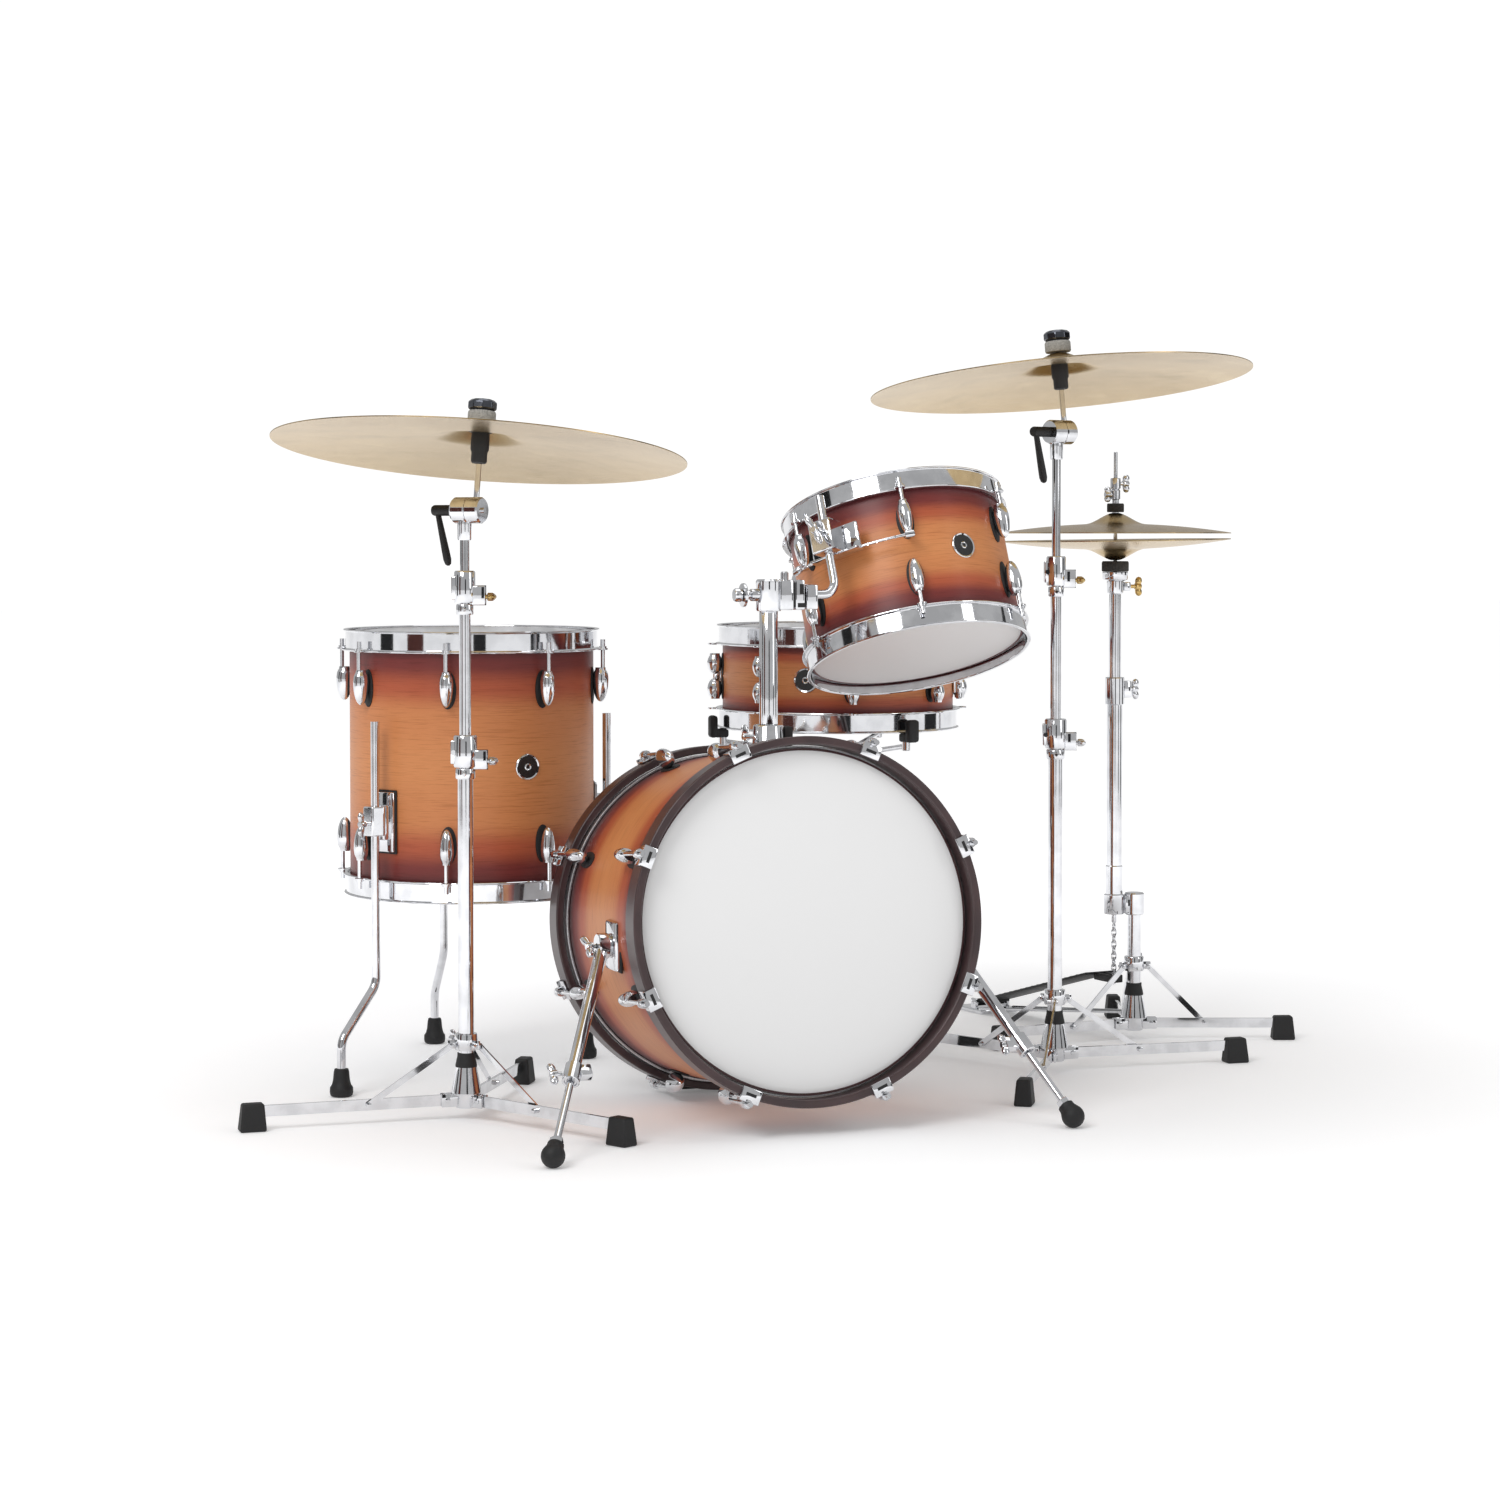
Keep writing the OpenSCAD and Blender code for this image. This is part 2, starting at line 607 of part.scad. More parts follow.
module crash_top_tube() top_tube(crash_xy, crash_clamp_z, crash_tilter_z, crash_turn);

felt_h = 16;
nut_h = 17;
module cymbal_rod(xy, z, turn, lean) tilter_at(xy, z, turn) rotate([0, lean, 0]) {
    color(steel) difference() {
        union() {
            rod([0, -tilter_face - gap, 0], [0, -tilter_out, 0], tilter_d);
            translate([0, -rod_side, 0]) cylinder(d = cymbal_rod_d, h = bell_reach + felt_h + nut_h);
        }
        rod([0, 0, 0], [0, -tilter_out - 2, 0], 7 + 2 * fit);
    }
    color(rubber) translate([0, -rod_side, 0]) {
        tube(64, bell_reach - 12, 25, cymbal_rod_d);
        tube(bell_reach - 12, bell_reach - 6.2 - gap, 37, cymbal_rod_d);
    }
    color("gray") translate([0, -rod_side, 0]) {
        tube(bell_reach + gap, bell_reach + felt_h, 38, cymbal_rod_d);
        tube(bell_reach + felt_h, bell_reach + felt_h + nut_h, 40, cymbal_rod_d);
    }
}
module ride_cymbal_rod() cymbal_rod(ride_xy, ride_tilter_z, ride_turn, ride_lean);
module crash_cymbal_rod() cymbal_rod(crash_xy, crash_tilter_z, crash_turn, crash_lean);

// Cymbal section: a shallow bow with a bell, its bell's top at z = 0.
cymbal_bore = 12;
function bell(q) = 0.5 + 0.5 * cos(180 * min(q, 1));
function section(r, d, rise, bell_r, bell_h) =
    (rise - bell_h) * (1 - pow(2 * r / d, 2)) + bell_h * bell(r / bell_r) - rise;
module cymbal(d, rise, bell_r, bell_h) {
    steps = 28;
    rr = [for (i = [0:steps]) cymbal_bore / 2 + (d / 2 - cymbal_bore / 2) * i / steps];
    rotate_extrude() polygon(concat([for (r = rr) [r, section(r, d, rise, bell_r, bell_h)]],
        [for (i = [steps:-1:0]) [rr[i], section(rr[i], d, rise, bell_r, bell_h) - cymbal_t]]));
}
cymbal_bell_r = 66;
bell_h = 19;
module ride_cymbal() color(bronze) tilter_at(ride_xy, ride_tilter_z, ride_turn)
    rotate([0, ride_lean, 0]) translate([0, -rod_side, bell_reach])
        cymbal(cymbal_d, ride_rise, cymbal_bell_r, bell_h);
module crash_cymbal() color(bronze) tilter_at(crash_xy, crash_tilter_z, crash_turn)
    rotate([0, crash_lean, 0]) translate([0, -rod_side, bell_reach])
        cymbal(cymbal_d, crash_rise, cymbal_bell_r, bell_h + 4);

// ---- hi-hat ----
hat_tube_d = 19;
hat_base_top = 524;
hat_rise = 31;
hat_rod_d = 6;
hat_bell_h = 17;
hat_bell_r = 48;
heel = [-58, 345];
toe_out = 34;
toe_z = 102;
heel_z = 17;
module hat_frame() kit() translate([hat_xy[0], hat_xy[1], 0]) children();

module hihat_frame() color(steel) {
    off = column_xy - hat_xy;
    hat_frame() difference() {
        union() {
            translate([0, 0, hat_column_z - 30]) cylinder(d = 32, h = 30);
            translate([0, 0, hat_column_z]) cylinder(d = 27, h = 45);
            translate([0, 0, hat_column_z + 45]) cylinder(d = 24, h = hat_base_top - hat_column_z - 45);
            translate([0, off[1] - 14, hat_column_z - 30]) cube([off[0] + 14, 28, 30]);
            translate([0, 0, hat_base_top]) cylinder(d = 30, h = 44);
            translate([0, -9, hat_base_top + 12]) cube([26, 18, 24]);
            translate([26, 0, hat_base_top + 24]) wing_key(6);
        }
        translate([0, 0, hat_column_z + 6]) cylinder(d = hat_tube_d + 2 * fit, h = 400);
        translate([0, 0, hat_column_z - 31]) cylinder(d = hat_rod_d + 3, h = 60);
    }
    // Heel plate on the floor with two long rods running back to the column's hub.
    hat_frame() {
        translate([heel[0], heel[1], 0]) rotate(atan2(heel[1], heel[0])) {
            translate([-28, -36, 0]) cube([74, 72, 8]);
            for (s = [-1, 1]) difference() {
                translate([-8, s * 31 - 3, 8]) cube([16, 6, 16]);
                translate([0, s * 31 - 4, heel_z]) rotate([-90, 0, 0]) cylinder(d = 6 + 2 * fit, h = 8);
            }
        }
        for (s = [-1, 1]) rod([heel[0] + s * 30, heel[1] - 24, 9], [off[0] + s * 9, off[1] + 18.5, 42], 5);
    }
}

module hihat_footboard() color(rubber) hat_frame() rotate(atan2(heel[1], heel[0])) {
    reach = norm(heel);
    difference() {
        union() {
            bar([reach - 14, 0, heel_z + 5], [toe_out, 0, toe_z], 4, 62);
            translate([reach, -27, heel_z]) rotate([-90, 0, 0]) cylinder(d = 12, h = 54);
            bar([reach - 2, 0, heel_z + 2], [reach - 20, 0, heel_z + 7], 5, 50);
            translate([-11, -10, toe_z - 12]) cube([toe_out + 17, 20, 14]);
        }
        translate([-7, -6, toe_z - 30]) cube([14, 12, 60]);
        translate([reach, -40, heel_z]) rotate([-90, 0, 0]) cylinder(d = 6, h = 80);
    }
    translate([reach, -36, heel_z]) rotate([-90, 0, 0]) cylinder(d = 6, h = 72);
}

module hihat_tube() color(steel) hat_frame() {
    difference() {
        union() {
            translate([0, 0, hat_base_top - 150])
                cylinder(d = hat_tube_d, h = hat_seat_z - hat_base_top + 116);
            translate([0, 0, hat_seat_z - 51]) cylinder(d = 26, h = 20);
            translate([0, 0, hat_seat_z - 31]) cylinder(d = 40, h = 14);
            translate([0, 0, hat_seat_z - 17]) cylinder(d = 32, h = 17);
            translate([13, 0, hat_seat_z - 40]) wing_key(10);
        }
        translate([0, 0, 300]) cylinder(d = hat_rod_d + 3, h = 600);
    }
}

// The lower cymbal lies upside down on the seat, rocked a little to one side.
hat_rock = 0.8;
hat_felt_gap = 0.2;
hat_rim = hat_seat_z + cymbal_t + hat_rise;
module hihat_bottom_cymbal() color(bronze) hat_frame() translate([0, 0, hat_seat_z + hat_felt_gap])
    rotate([0, -hat_rock, 0]) mirror([0, 0, 1]) cymbal(hat_d, hat_rise, hat_bell_r, hat_bell_h);

module hihat_pull_rod() color(steel) hat_frame() {
    translate([0, 0, hat_column_z - 32]) cylinder(d = hat_rod_d, h = hat_rod_top - hat_column_z + 32);
    translate([0, 0, hat_column_z - 42]) cylinder(d = 8, h = 10);
    for (i = [0:10]) translate([0, 0, toe_z - 9 + i * 9])
        cube(i % 2 == 0 ? [3, 7, 12] : [7, 3, 12], center = true);
}

hat_top_z = hat_rim + hat_gap + hat_rise;
module hihat_top_cymbal() color(bronze) hat_frame() translate([0, 0, hat_top_z])
    cymbal(hat_d, hat_rise, hat_bell_r, hat_bell_h);

module hihat_clutch() hat_frame() {
    color("dimgray") difference() {
        union() {
            translate([0, 0, hat_top_z - 12]) cylinder(d = 10.5, h = 66);
            translate([0, 0, hat_top_z - 16]) cylinder(d = 22, h = 11);
            translate([0, 0, hat_top_z + 1]) cylinder(d = 26, h = 14);
            translate([0, 0, hat_top_z + 36]) cylinder(d = 16, h = 18);
            translate([6, 0, hat_top_z + 45]) wing_key(6, 20);
        }
        translate([0, 0, hat_top_z - 20]) cylinder(d = hat_rod_d + 2 * fit, h = 90);
    }
}

// ---- snare drum and its stand's basket ----
snare_count = 8;
snare_turn = 31;
snare_mid = snare_lift + snare_len / 2;
module snare_frame() kit() translate([snare_xy[0], snare_xy[1], snare_mid]) children();
strainer_turn = -25;
module snare_shell() color(amber) snare_frame() drum_shell(snare_d, snare_len);
module snare_hoops() color(steel) snare_frame()
    steel_hoop(snare_d, snare_len, snare_count, snare_turn);
module snare_heads() color(white) snare_frame() drum_head(snare_d, snare_len, 14, 4, 3.2);
module snare_lugs() color(steel) snare_frame() {
    both_ends() lug_row_short();
    steel_rods(snare_d, snare_len, snare_count, snare_turn, 30);
    for (turn = [strainer_turn, strainer_turn + 180]) difference() {
        rotate(turn) translate([snare_d / 2 - 3, -14, -26]) cube([19, 28, 50]);
        cylinder(d = snare_d, h = snare_len, center = true);
        rotate(turn) translate([snare_d / 2 + 6, -7, -8]) cube([14, 14, 40]);
        rotate(turn) translate([lever_r, 0, 0]) rod([0, -20, 0], [0, 20, 0], 4 + 2 * fit);
    }
}
lever_r = snare_d / 2 + 12;
module lug_row_short() {
    for (i = [0:snare_count - 1]) rotate(snare_turn + 360 / snare_count * i)
        lug(snare_d, snare_len / 2 - 30, rod_out, 34);
    difference() {
        for (i = [0:snare_count - 1]) rotate(snare_turn + 360 / snare_count * i)
            translate([snare_d / 2 - 3, 0, snare_len / 2 - 42]) rotate([0, 90, 0])
                cylinder(r = 6, h = rod_out - 4);
        cylinder(d = snare_d, h = snare_len);
    }
}
module snare_lever() color(steel) snare_frame() rotate(strainer_turn) translate([lever_r, 0, 0]) {
    rod([0, -6, 0], [0, 6, 0], 8);
    rod([0, -13, 0], [0, 13, 0], 4);
    translate([-2.5, -5, 0]) cube([5, 10, 36]);
    translate([-3, -6, 28]) cube([8, 12, 13]);
}

basket_turns = [48, 173, 283.5];
basket_hub = 446;
module snare_basket() kit() translate([snare_xy[0], snare_xy[1], 0]) {
    rim = snare_d / 2 + steel_gap + 8;
    low = snare_lift - steel_over;
    color(steel) {
        translate([0, 0, snare_tube_top - 190])
            cylinder(d = mid_tube_d, h = basket_hub - snare_tube_top + 190);
        translate([0, 0, basket_hub]) cylinder(d = 46, h = 16);
        for (turn = basket_turns) {
            rod(polar(turn, 20, basket_hub + 8), polar(turn, rim - 8, low - 18), 8);
            translate(polar(turn, rim - 8, low - 27)) cylinder(d = 13, h = 16);
        }
    }
    color(rubber) for (turn = basket_turns) rotate(turn) {
        translate([rim - 16, -9, low - 14]) cube([22, 18, 13.6]);
        translate([rim + 1, -9, low - 14]) cube([13, 18, 34]);
    }
}

// ---- bass-drum pedal behind the batter head ----
pedal_post_y = bass_half + 12;
pedal_x = 46;
pedal_axle_z = 150;
pedal_heel_y = pedal_post_y + 262;
pedal_toe_z = 72;
pedal_cam_r = 28;
pedal_chain_y = pedal_post_y + pedal_cam_r + 6;
pedal_chain_lo = pedal_toe_z + 5;
module pedal_frame() color(steel) kit() {
    translate([-55, pedal_post_y - 32, 0]) cube([110, 317, 5]);
    for (s = [-1, 1]) difference() {
        translate([s * pedal_x - 6, pedal_post_y - 10, 5]) cube([12, 20, pedal_axle_z + 8]);
        rod([-80, pedal_post_y, pedal_axle_z], [80, pedal_post_y, pedal_axle_z], 10 + 2 * fit);
    }
    for (s = [-1, 1]) difference() {
        translate([s * 39 - 4, pedal_heel_y - 9, 5]) cube([8, 18, 20]);
        rod([-60, pedal_heel_y, 16], [60, pedal_heel_y, 16], 6 + 2 * fit);
    }
    translate([-20, pedal_post_y - 31, 4]) cube([40, 20, 10]);
}

module pedal_footboard() color(steel) kit() difference() {
    union() {
        bar([0, pedal_heel_y - 1, 18], [0, pedal_post_y + 6, pedal_toe_z], 5, 60);
        rod([-32, pedal_heel_y, 16], [32, pedal_heel_y, 16], 13);
        rod([-43, pedal_heel_y, 16], [43, pedal_heel_y, 16], 6);
        for (s = [-1, 1]) translate([s * 8 - 2, pedal_chain_y - 6, pedal_toe_z - 8]) cube([4, 12, 20]);
    }
    rod([-30, pedal_chain_y, pedal_chain_lo], [30, pedal_chain_y, pedal_chain_lo], 4 + 2 * fit);
}

module pedal_chain() color(steel) kit() {
    rod([-9, pedal_chain_y, pedal_chain_lo], [9, pedal_chain_y, pedal_chain_lo], 4);
    for (i = [0:8]) translate([0, pedal_chain_y, pedal_chain_lo + i * 9])
        cube(i % 2 == 0 ? [7, 3, 12] : [3, 7, 12], center = true);
}

beater_back = 30;
beater_arm = 122;
module pedal_beater() kit() translate([0, pedal_post_y, pedal_axle_z]) {
    ball = [0, sin(beater_back) * beater_arm, cos(beater_back) * beater_arm];
    color(steel) {
        rod([-56, 0, 0], [56, 0, 0], 10);
        rod([-13, 0, 0], [13, 0, 0], 2 * pedal_cam_r);
        rod([0, 0, 0], ball, 6);
    }
    color(white) translate(ball) rotate([-beater_back, 0, 0]) rod([0, -17, 0], [0, 17, 0], 48);
}

bass_shell();
bass_hoops();
bass_heads();
bass_lugs();
bass_claws();
bass_tension_rods();
spur_brackets();
post_base();
floor_tom_shell();
floor_tom_hoops();
floor_tom_heads();
floor_tom_lugs();
floor_tom_tension_rods();
floor_tom_brackets();
stand_legs();
stand_braces();
stand_feet();
stand_hubs();
stand_base_tubes();
stand_clamps();
hihat_frame();
pedal_frame();
spur_tube_left();
spur_rod_left();
spur_tube_right();
spur_rod_right();
tom_post();
tom_arm();
tom_mount();
tom_shell();
tom_hoops();
tom_heads();
tom_lugs();
tom_tension_rods();
floor_tom_leg_front();
floor_tom_leg_right();
floor_tom_leg_rear();
ride_mid_tube();
ride_top_tube();
ride_cymbal_rod();
ride_cymbal();
crash_mid_tube();
crash_top_tube();
crash_cymbal_rod();
crash_cymbal();
hihat_tube();
hihat_bottom_cymbal();
hihat_pull_rod();
hihat_clutch();
hihat_top_cymbal();
hihat_footboard();
snare_shell();
snare_hoops();
snare_heads();
snare_lugs();
snare_lever();
snare_basket();
pedal_footboard();
pedal_chain();
pedal_beater();
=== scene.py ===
"""Acoustic drum kit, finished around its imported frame. Metres, +Z up, the drummer towards +Y."""
import json
import math

import bpy
from mathutils import Matrix, Vector


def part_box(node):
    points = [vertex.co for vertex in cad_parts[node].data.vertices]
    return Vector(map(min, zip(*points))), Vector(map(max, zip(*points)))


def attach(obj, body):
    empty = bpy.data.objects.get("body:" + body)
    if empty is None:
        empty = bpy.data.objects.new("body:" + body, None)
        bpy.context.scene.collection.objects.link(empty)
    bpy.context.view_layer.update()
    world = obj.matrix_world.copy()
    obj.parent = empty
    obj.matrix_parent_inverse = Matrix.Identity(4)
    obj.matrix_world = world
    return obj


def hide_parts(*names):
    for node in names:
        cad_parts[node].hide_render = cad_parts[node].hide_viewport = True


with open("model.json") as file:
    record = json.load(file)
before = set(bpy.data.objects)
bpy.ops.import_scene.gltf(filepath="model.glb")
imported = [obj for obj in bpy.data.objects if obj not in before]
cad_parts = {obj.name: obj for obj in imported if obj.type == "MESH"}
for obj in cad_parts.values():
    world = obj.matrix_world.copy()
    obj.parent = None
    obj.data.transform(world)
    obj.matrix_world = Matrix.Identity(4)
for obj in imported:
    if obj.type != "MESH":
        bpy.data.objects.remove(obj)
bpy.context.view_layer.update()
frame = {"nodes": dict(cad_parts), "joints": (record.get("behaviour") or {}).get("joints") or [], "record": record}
bpy.ops.object.select_all(action="DESELECT")
joints = {joint["name"]: joint for joint in frame["joints"]}

# ---- Drum shells ----
# Maple ply shells with a satin sunburst lacquer, sprayed amber in the middle and shaded through
# orange to dark maroon at both edges. The grain runs round the shell and shows through faintly.
BASS_PITCH = math.radians(5.4)
INCH = 0.0254


def paint(hex_value):
    """An sRGB colour such as 0xC38048 as linear red, green, blue and alpha."""
    parts = [(hex_value >> shift & 255) / 255 for shift in (16, 8, 0)]
    return [p / 12.92 if p <= 0.04045 else ((p + 0.055) / 1.055) ** 2.4 for p in parts] + [1.0]


def add_node(tree, kind, settings=None, inputs=None):
    """One shader node, with its settings, and its inputs set or linked from another node's output."""
    node = tree.nodes.new(kind)
    for name, value in (settings or {}).items():
        setattr(node, name, value)
    for name, value in (inputs or {}).items():
        if isinstance(value, bpy.types.NodeSocket):
            tree.links.new(value, node.inputs[name])
        else:
            node.inputs[name].default_value = value
    return node


def finish_of(name, **values):
    """A new material with one Principled shader, and that shader's plain values set."""
    material = bpy.data.materials.new(name)
    material.use_nodes = True
    shader = material.node_tree.nodes["Principled BSDF"]
    for key, value in values.items():
        shader.inputs[key.replace("_", " ")].default_value = value
    return material, material.node_tree, shader


def local_point(tree, place, stretch=(1, 1, 1)):
    """The point on the piece, measured in the frame of one drum or cymbal."""
    where = add_node(tree, "ShaderNodeTexCoord")
    return add_node(tree, "ShaderNodeMapping", {"vector_type": "TEXTURE"}, {
        "Vector": where.outputs["Object"], "Location": place.to_translation(),
        "Rotation": place.to_euler(), "Scale": stretch}).outputs["Vector"]


def ramp(tree, factor, stops):
    """Colours blended over a factor, from (position, colour) stops."""
    node = add_node(tree, "ShaderNodeValToRGB", None, {"Fac": factor})
    node.color_ramp.interpolation = "EASE"
    while len(node.color_ramp.elements) < len(stops):
        node.color_ramp.elements.new(0.5)
    for element, (position, colour) in zip(node.color_ramp.elements, stops):
        element.position, element.color = position, paint(colour)
    return node.outputs["Color"]


def middle(node):
    low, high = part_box(node)
    return (low + high) / 2


def sunburst(name, place, half_length, amber_part, edge):
    """Lacquer shaded along the drum's own axis: amber to amber_part of the way, edge colour at the rims."""
    material, tree, shader = finish_of(name, Roughness=0.46, Specular_IOR_Level=0.35, Coat_Weight=0.14,
                                       Coat_Roughness=0.25)
    point = local_point(tree, place)
    along = add_node(tree, "ShaderNodeSeparateXYZ", None, {"Vector": point}).outputs["Z"]
    drift = add_node(tree, "ShaderNodeTexNoise", None, {
        "Vector": point, "Scale": 6.0, "Detail": 2.0}).outputs["Fac"]
    share = add_node(tree, "ShaderNodeMath", {"operation": "DIVIDE"}, {0: along, 1: half_length})
    size = add_node(tree, "ShaderNodeMath", {"operation": "ABSOLUTE"}, {0: share.outputs[0]})
    wobble = add_node(tree, "ShaderNodeMath", {"operation": "MULTIPLY_ADD"}, {
        0: drift, 1: 0.05, 2: size.outputs[0]})
    factor = add_node(tree, "ShaderNodeMath", {"operation": "SUBTRACT"}, {
        0: wobble.outputs[0], 1: 0.025})
    burst = ramp(tree, factor.outputs[0], [
        (0.0, 0xCB8551), (amber_part, 0xC67E4C), (amber_part + 0.22, 0xAA5233),
        (amber_part + 0.40, 0x722A26), (amber_part + 0.56, edge)])
    # Grain lines a little over a millimetre apart, long round the shell.
    grain_at = local_point(tree, place, (0.05, 0.05, 0.0016))
    grain = add_node(tree, "ShaderNodeTexNoise", None, {
        "Vector": grain_at, "Scale": 1.0, "Detail": 4.0, "Roughness": 0.62}).outputs["Fac"]
    streaks = ramp(tree, grain, [(0.30, 0xC9B8A8), (0.52, 0xFFFFFF), (0.75, 0xE8DCD0)])
    stained = add_node(tree, "ShaderNodeMix", {"data_type": "RGBA", "blend_type": "MULTIPLY"}, {
        0: 0.55, 6: burst, 7: streaks})
    tree.links.new(stained.outputs[2], shader.inputs["Base Color"])
    return material


def cad_finish(material, *nodes):
    """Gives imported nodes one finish."""
    for node in nodes:
        mesh = frame["nodes"][node].data
        mesh.materials.clear()
        mesh.materials.append(material)


bass_place = Matrix.Translation(middle("bass_shell")) @ Matrix.Rotation(
    math.pi / 2 - BASS_PITCH, 4, "X")
tom_axis = Vector(joints["tom_swing"]["axis"])
tom_side = Vector((-tom_axis.y, tom_axis.x, 0)).normalized()
tom_place = Matrix.Translation(middle("tom_shell")) @ Matrix(
    (tom_side.cross(tom_axis), tom_side, tom_axis)).transposed().to_4x4()
floor_place = Matrix.Translation(middle("floor_tom_shell"))
snare_place = Matrix.Translation(middle("snare_shell"))
BASS_LENGTH, TOM_LENGTH, FLOOR_LENGTH, SNARE_LENGTH = 0.356, 0.203, 0.356, 0.130
BASS_RADIUS, TOM_RADIUS, FLOOR_RADIUS, SNARE_RADIUS = 9 * INCH, 6 * INCH, 7 * INCH, 7 * INCH
# Each drum's place, radius, half length and body, then its number of lugs and the turn of the first.
drums = {
    "bass": (bass_place, BASS_RADIUS, BASS_LENGTH / 2, "kit_base", 8, 22.5),
    "tom": (tom_place, TOM_RADIUS, TOM_LENGTH / 2, "tom", 6, 35.0),
    "floor_tom": (floor_place, FLOOR_RADIUS, FLOOR_LENGTH / 2, "kit_base", 8, 19.5),
    "snare": (snare_place, SNARE_RADIUS, SNARE_LENGTH / 2, "snare", 8, 31.0)}
for name, amber_part, edge in (("bass", 0.28, 0x3C2023), ("tom", 0.28, 0x5E2427),
                               ("floor_tom", 0.42, 0x4E2025), ("snare", 0.30, 0x5E2427)):
    place, radius, half = drums[name][:3]
    cad_finish(sunburst(name + "_sunburst", place, half, amber_part, edge), name + "_shell")

# ---- Bass drum hoops ----
# Two bent maple hoops in a satin dark-maroon lacquer, with softly broken edges that catch a thin
# line of light. Claws clamp them against the heads.


def smooth(piece, degrees=35):
    """Smooth shading, with corners sharper than the angle left crisp."""
    bpy.ops.object.select_all(action="DESELECT")
    piece.select_set(True)
    bpy.context.view_layer.objects.active = piece
    bpy.ops.object.shade_smooth_by_angle(angle=math.radians(degrees))
    piece.select_set(False)
    return piece


def turned(name, outline, segments=48, closed=False):
    """A form turned about +Z: a ring pushed up and widened from one (radius, height) to the next."""
    radius, height = outline[0]
    bpy.ops.mesh.primitive_circle_add(vertices=segments, radius=radius, location=(0, 0, height),
                                      fill_type="NOTHING" if closed else "NGON")
    piece = bpy.context.object
    piece.name = name
    bpy.ops.object.transform_apply(location=True)
    bpy.ops.object.mode_set(mode="EDIT")
    bpy.ops.mesh.select_all(action="SELECT")
    for following, level in outline[1:] + (outline[:1] if closed else []):
        bpy.ops.mesh.extrude_region_move(TRANSFORM_OT_translate={"value": (0, 0, level - height)})
        bpy.ops.transform.resize(value=(following / radius, following / radius, 1),
                                 center_override=(0, 0, 0))
        radius, height = following, level
    bpy.ops.mesh.select_all(action="SELECT")
    bpy.ops.mesh.remove_doubles(threshold=1e-6)
    bpy.ops.mesh.normals_make_consistent(inside=False)
    bpy.ops.object.mode_set(mode="OBJECT")
    return smooth(piece)


def broken(piece, width, segments=2, degrees=30):
    """The piece with its sharp edges broken by a small round."""
    bevel = piece.modifiers.new("edges", "BEVEL")
    bevel.width, bevel.segments, bevel.angle_limit = width, segments, math.radians(degrees)
    bevel.use_clamp_overlap = True
    bpy.context.view_layer.objects.active = piece
    bpy.ops.object.modifier_apply(modifier=bevel.name)
    return smooth(piece)


def copies(piece, places):
    """The piece at each place, every copy with its own mesh, joined into one."""
    bpy.ops.object.select_all(action="DESELECT")
    for place in places[1:]:
        another = piece.copy()
        another.data = piece.data.copy()
        bpy.context.collection.objects.link(another)
        another.matrix_world = place
        another.select_set(True)
    piece.matrix_world = places[0]
    piece.select_set(True)
    bpy.context.view_layer.objects.active = piece
    bpy.ops.object.transform_apply(location=True, rotation=True, scale=True)
    if len(places) > 1:
        bpy.ops.object.join()
    bpy.context.object.select_set(False)
    return piece


def together(name, *pieces):
    """Several meshes joined into one piece."""
    bpy.ops.object.select_all(action="DESELECT")
    for piece in pieces:
        piece.select_set(True)
    bpy.context.view_layer.objects.active = pieces[0]
    bpy.ops.object.join()
    bpy.context.object.select_set(False)
    pieces[0].name = name
    return pieces[0]


def fitted(piece, material, body, slot, *stands_for):
    """The finished piece in its material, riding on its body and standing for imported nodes."""
    piece.data.materials.clear()
    piece.data.materials.append(material)
    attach(piece, body)
    if stands_for:
        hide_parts(*stands_for)
    return piece


HOOP_WIDTH, HOOP_THICK, HOOP_OVER = 0.038, 0.011, 0.022
hoop_outer = BASS_RADIUS - 0.0001 + 0.0045 + HOOP_THICK
bass_half = BASS_LENGTH / 2 + HOOP_OVER
both_ends = [Matrix.Identity(4), Matrix.Rotation(math.pi, 4, "X")]
hoop_lacquer, tree, shader = finish_of("maroon_hoop_lacquer", Roughness=0.4, Coat_Weight=0.35,
                                       Coat_Roughness=0.3)
hoop_grain = add_node(tree, "ShaderNodeTexNoise", None, {
    "Vector": local_point(tree, bass_place, (0.06, 0.06, 0.002)), "Scale": 1.0, "Detail": 3.0})
tree.links.new(ramp(tree, hoop_grain.outputs["Fac"], [(0.3, 0x2E1C1E), (0.7, 0x402A2B)]),
               shader.inputs["Base Color"])
hoop = broken(turned("bass_hoop", [
    (hoop_outer - HOOP_THICK, bass_half - HOOP_WIDTH), (hoop_outer, bass_half - HOOP_WIDTH),
    (hoop_outer, bass_half), (hoop_outer - HOOP_THICK, bass_half)], 160, closed=True), 0.0022, 3)
fitted(copies(hoop, [bass_place @ end for end in both_ends]), hoop_lacquer, "kit_base", "hoop_wood",
       "bass_hoops")

# ---- Drum heads ----
# Coated white polyester film, tucked over the bearing edge with a small round collar and crimped
# in an aluminium flesh hoop. The coating is matt with a very fine sprayed grain.


def speckle(tree, scale, detail):
    """Fine noise over the whole piece, at a scale per metre."""
    where = add_node(tree, "ShaderNodeTexCoord").outputs["Object"]
    return add_node(tree, "ShaderNodeTexNoise", None, {
        "Vector": where, "Scale": scale, "Detail": detail}).outputs["Fac"]


def relief(tree, shader, height, strength, distance):
    """Bumps that follow a height, at a strength and a depth in metres."""
    tree.links.new(add_node(tree, "ShaderNodeBump", None, {
        "Strength": strength, "Distance": distance, "Height": height}).outputs["Normal"],
        shader.inputs["Normal"])


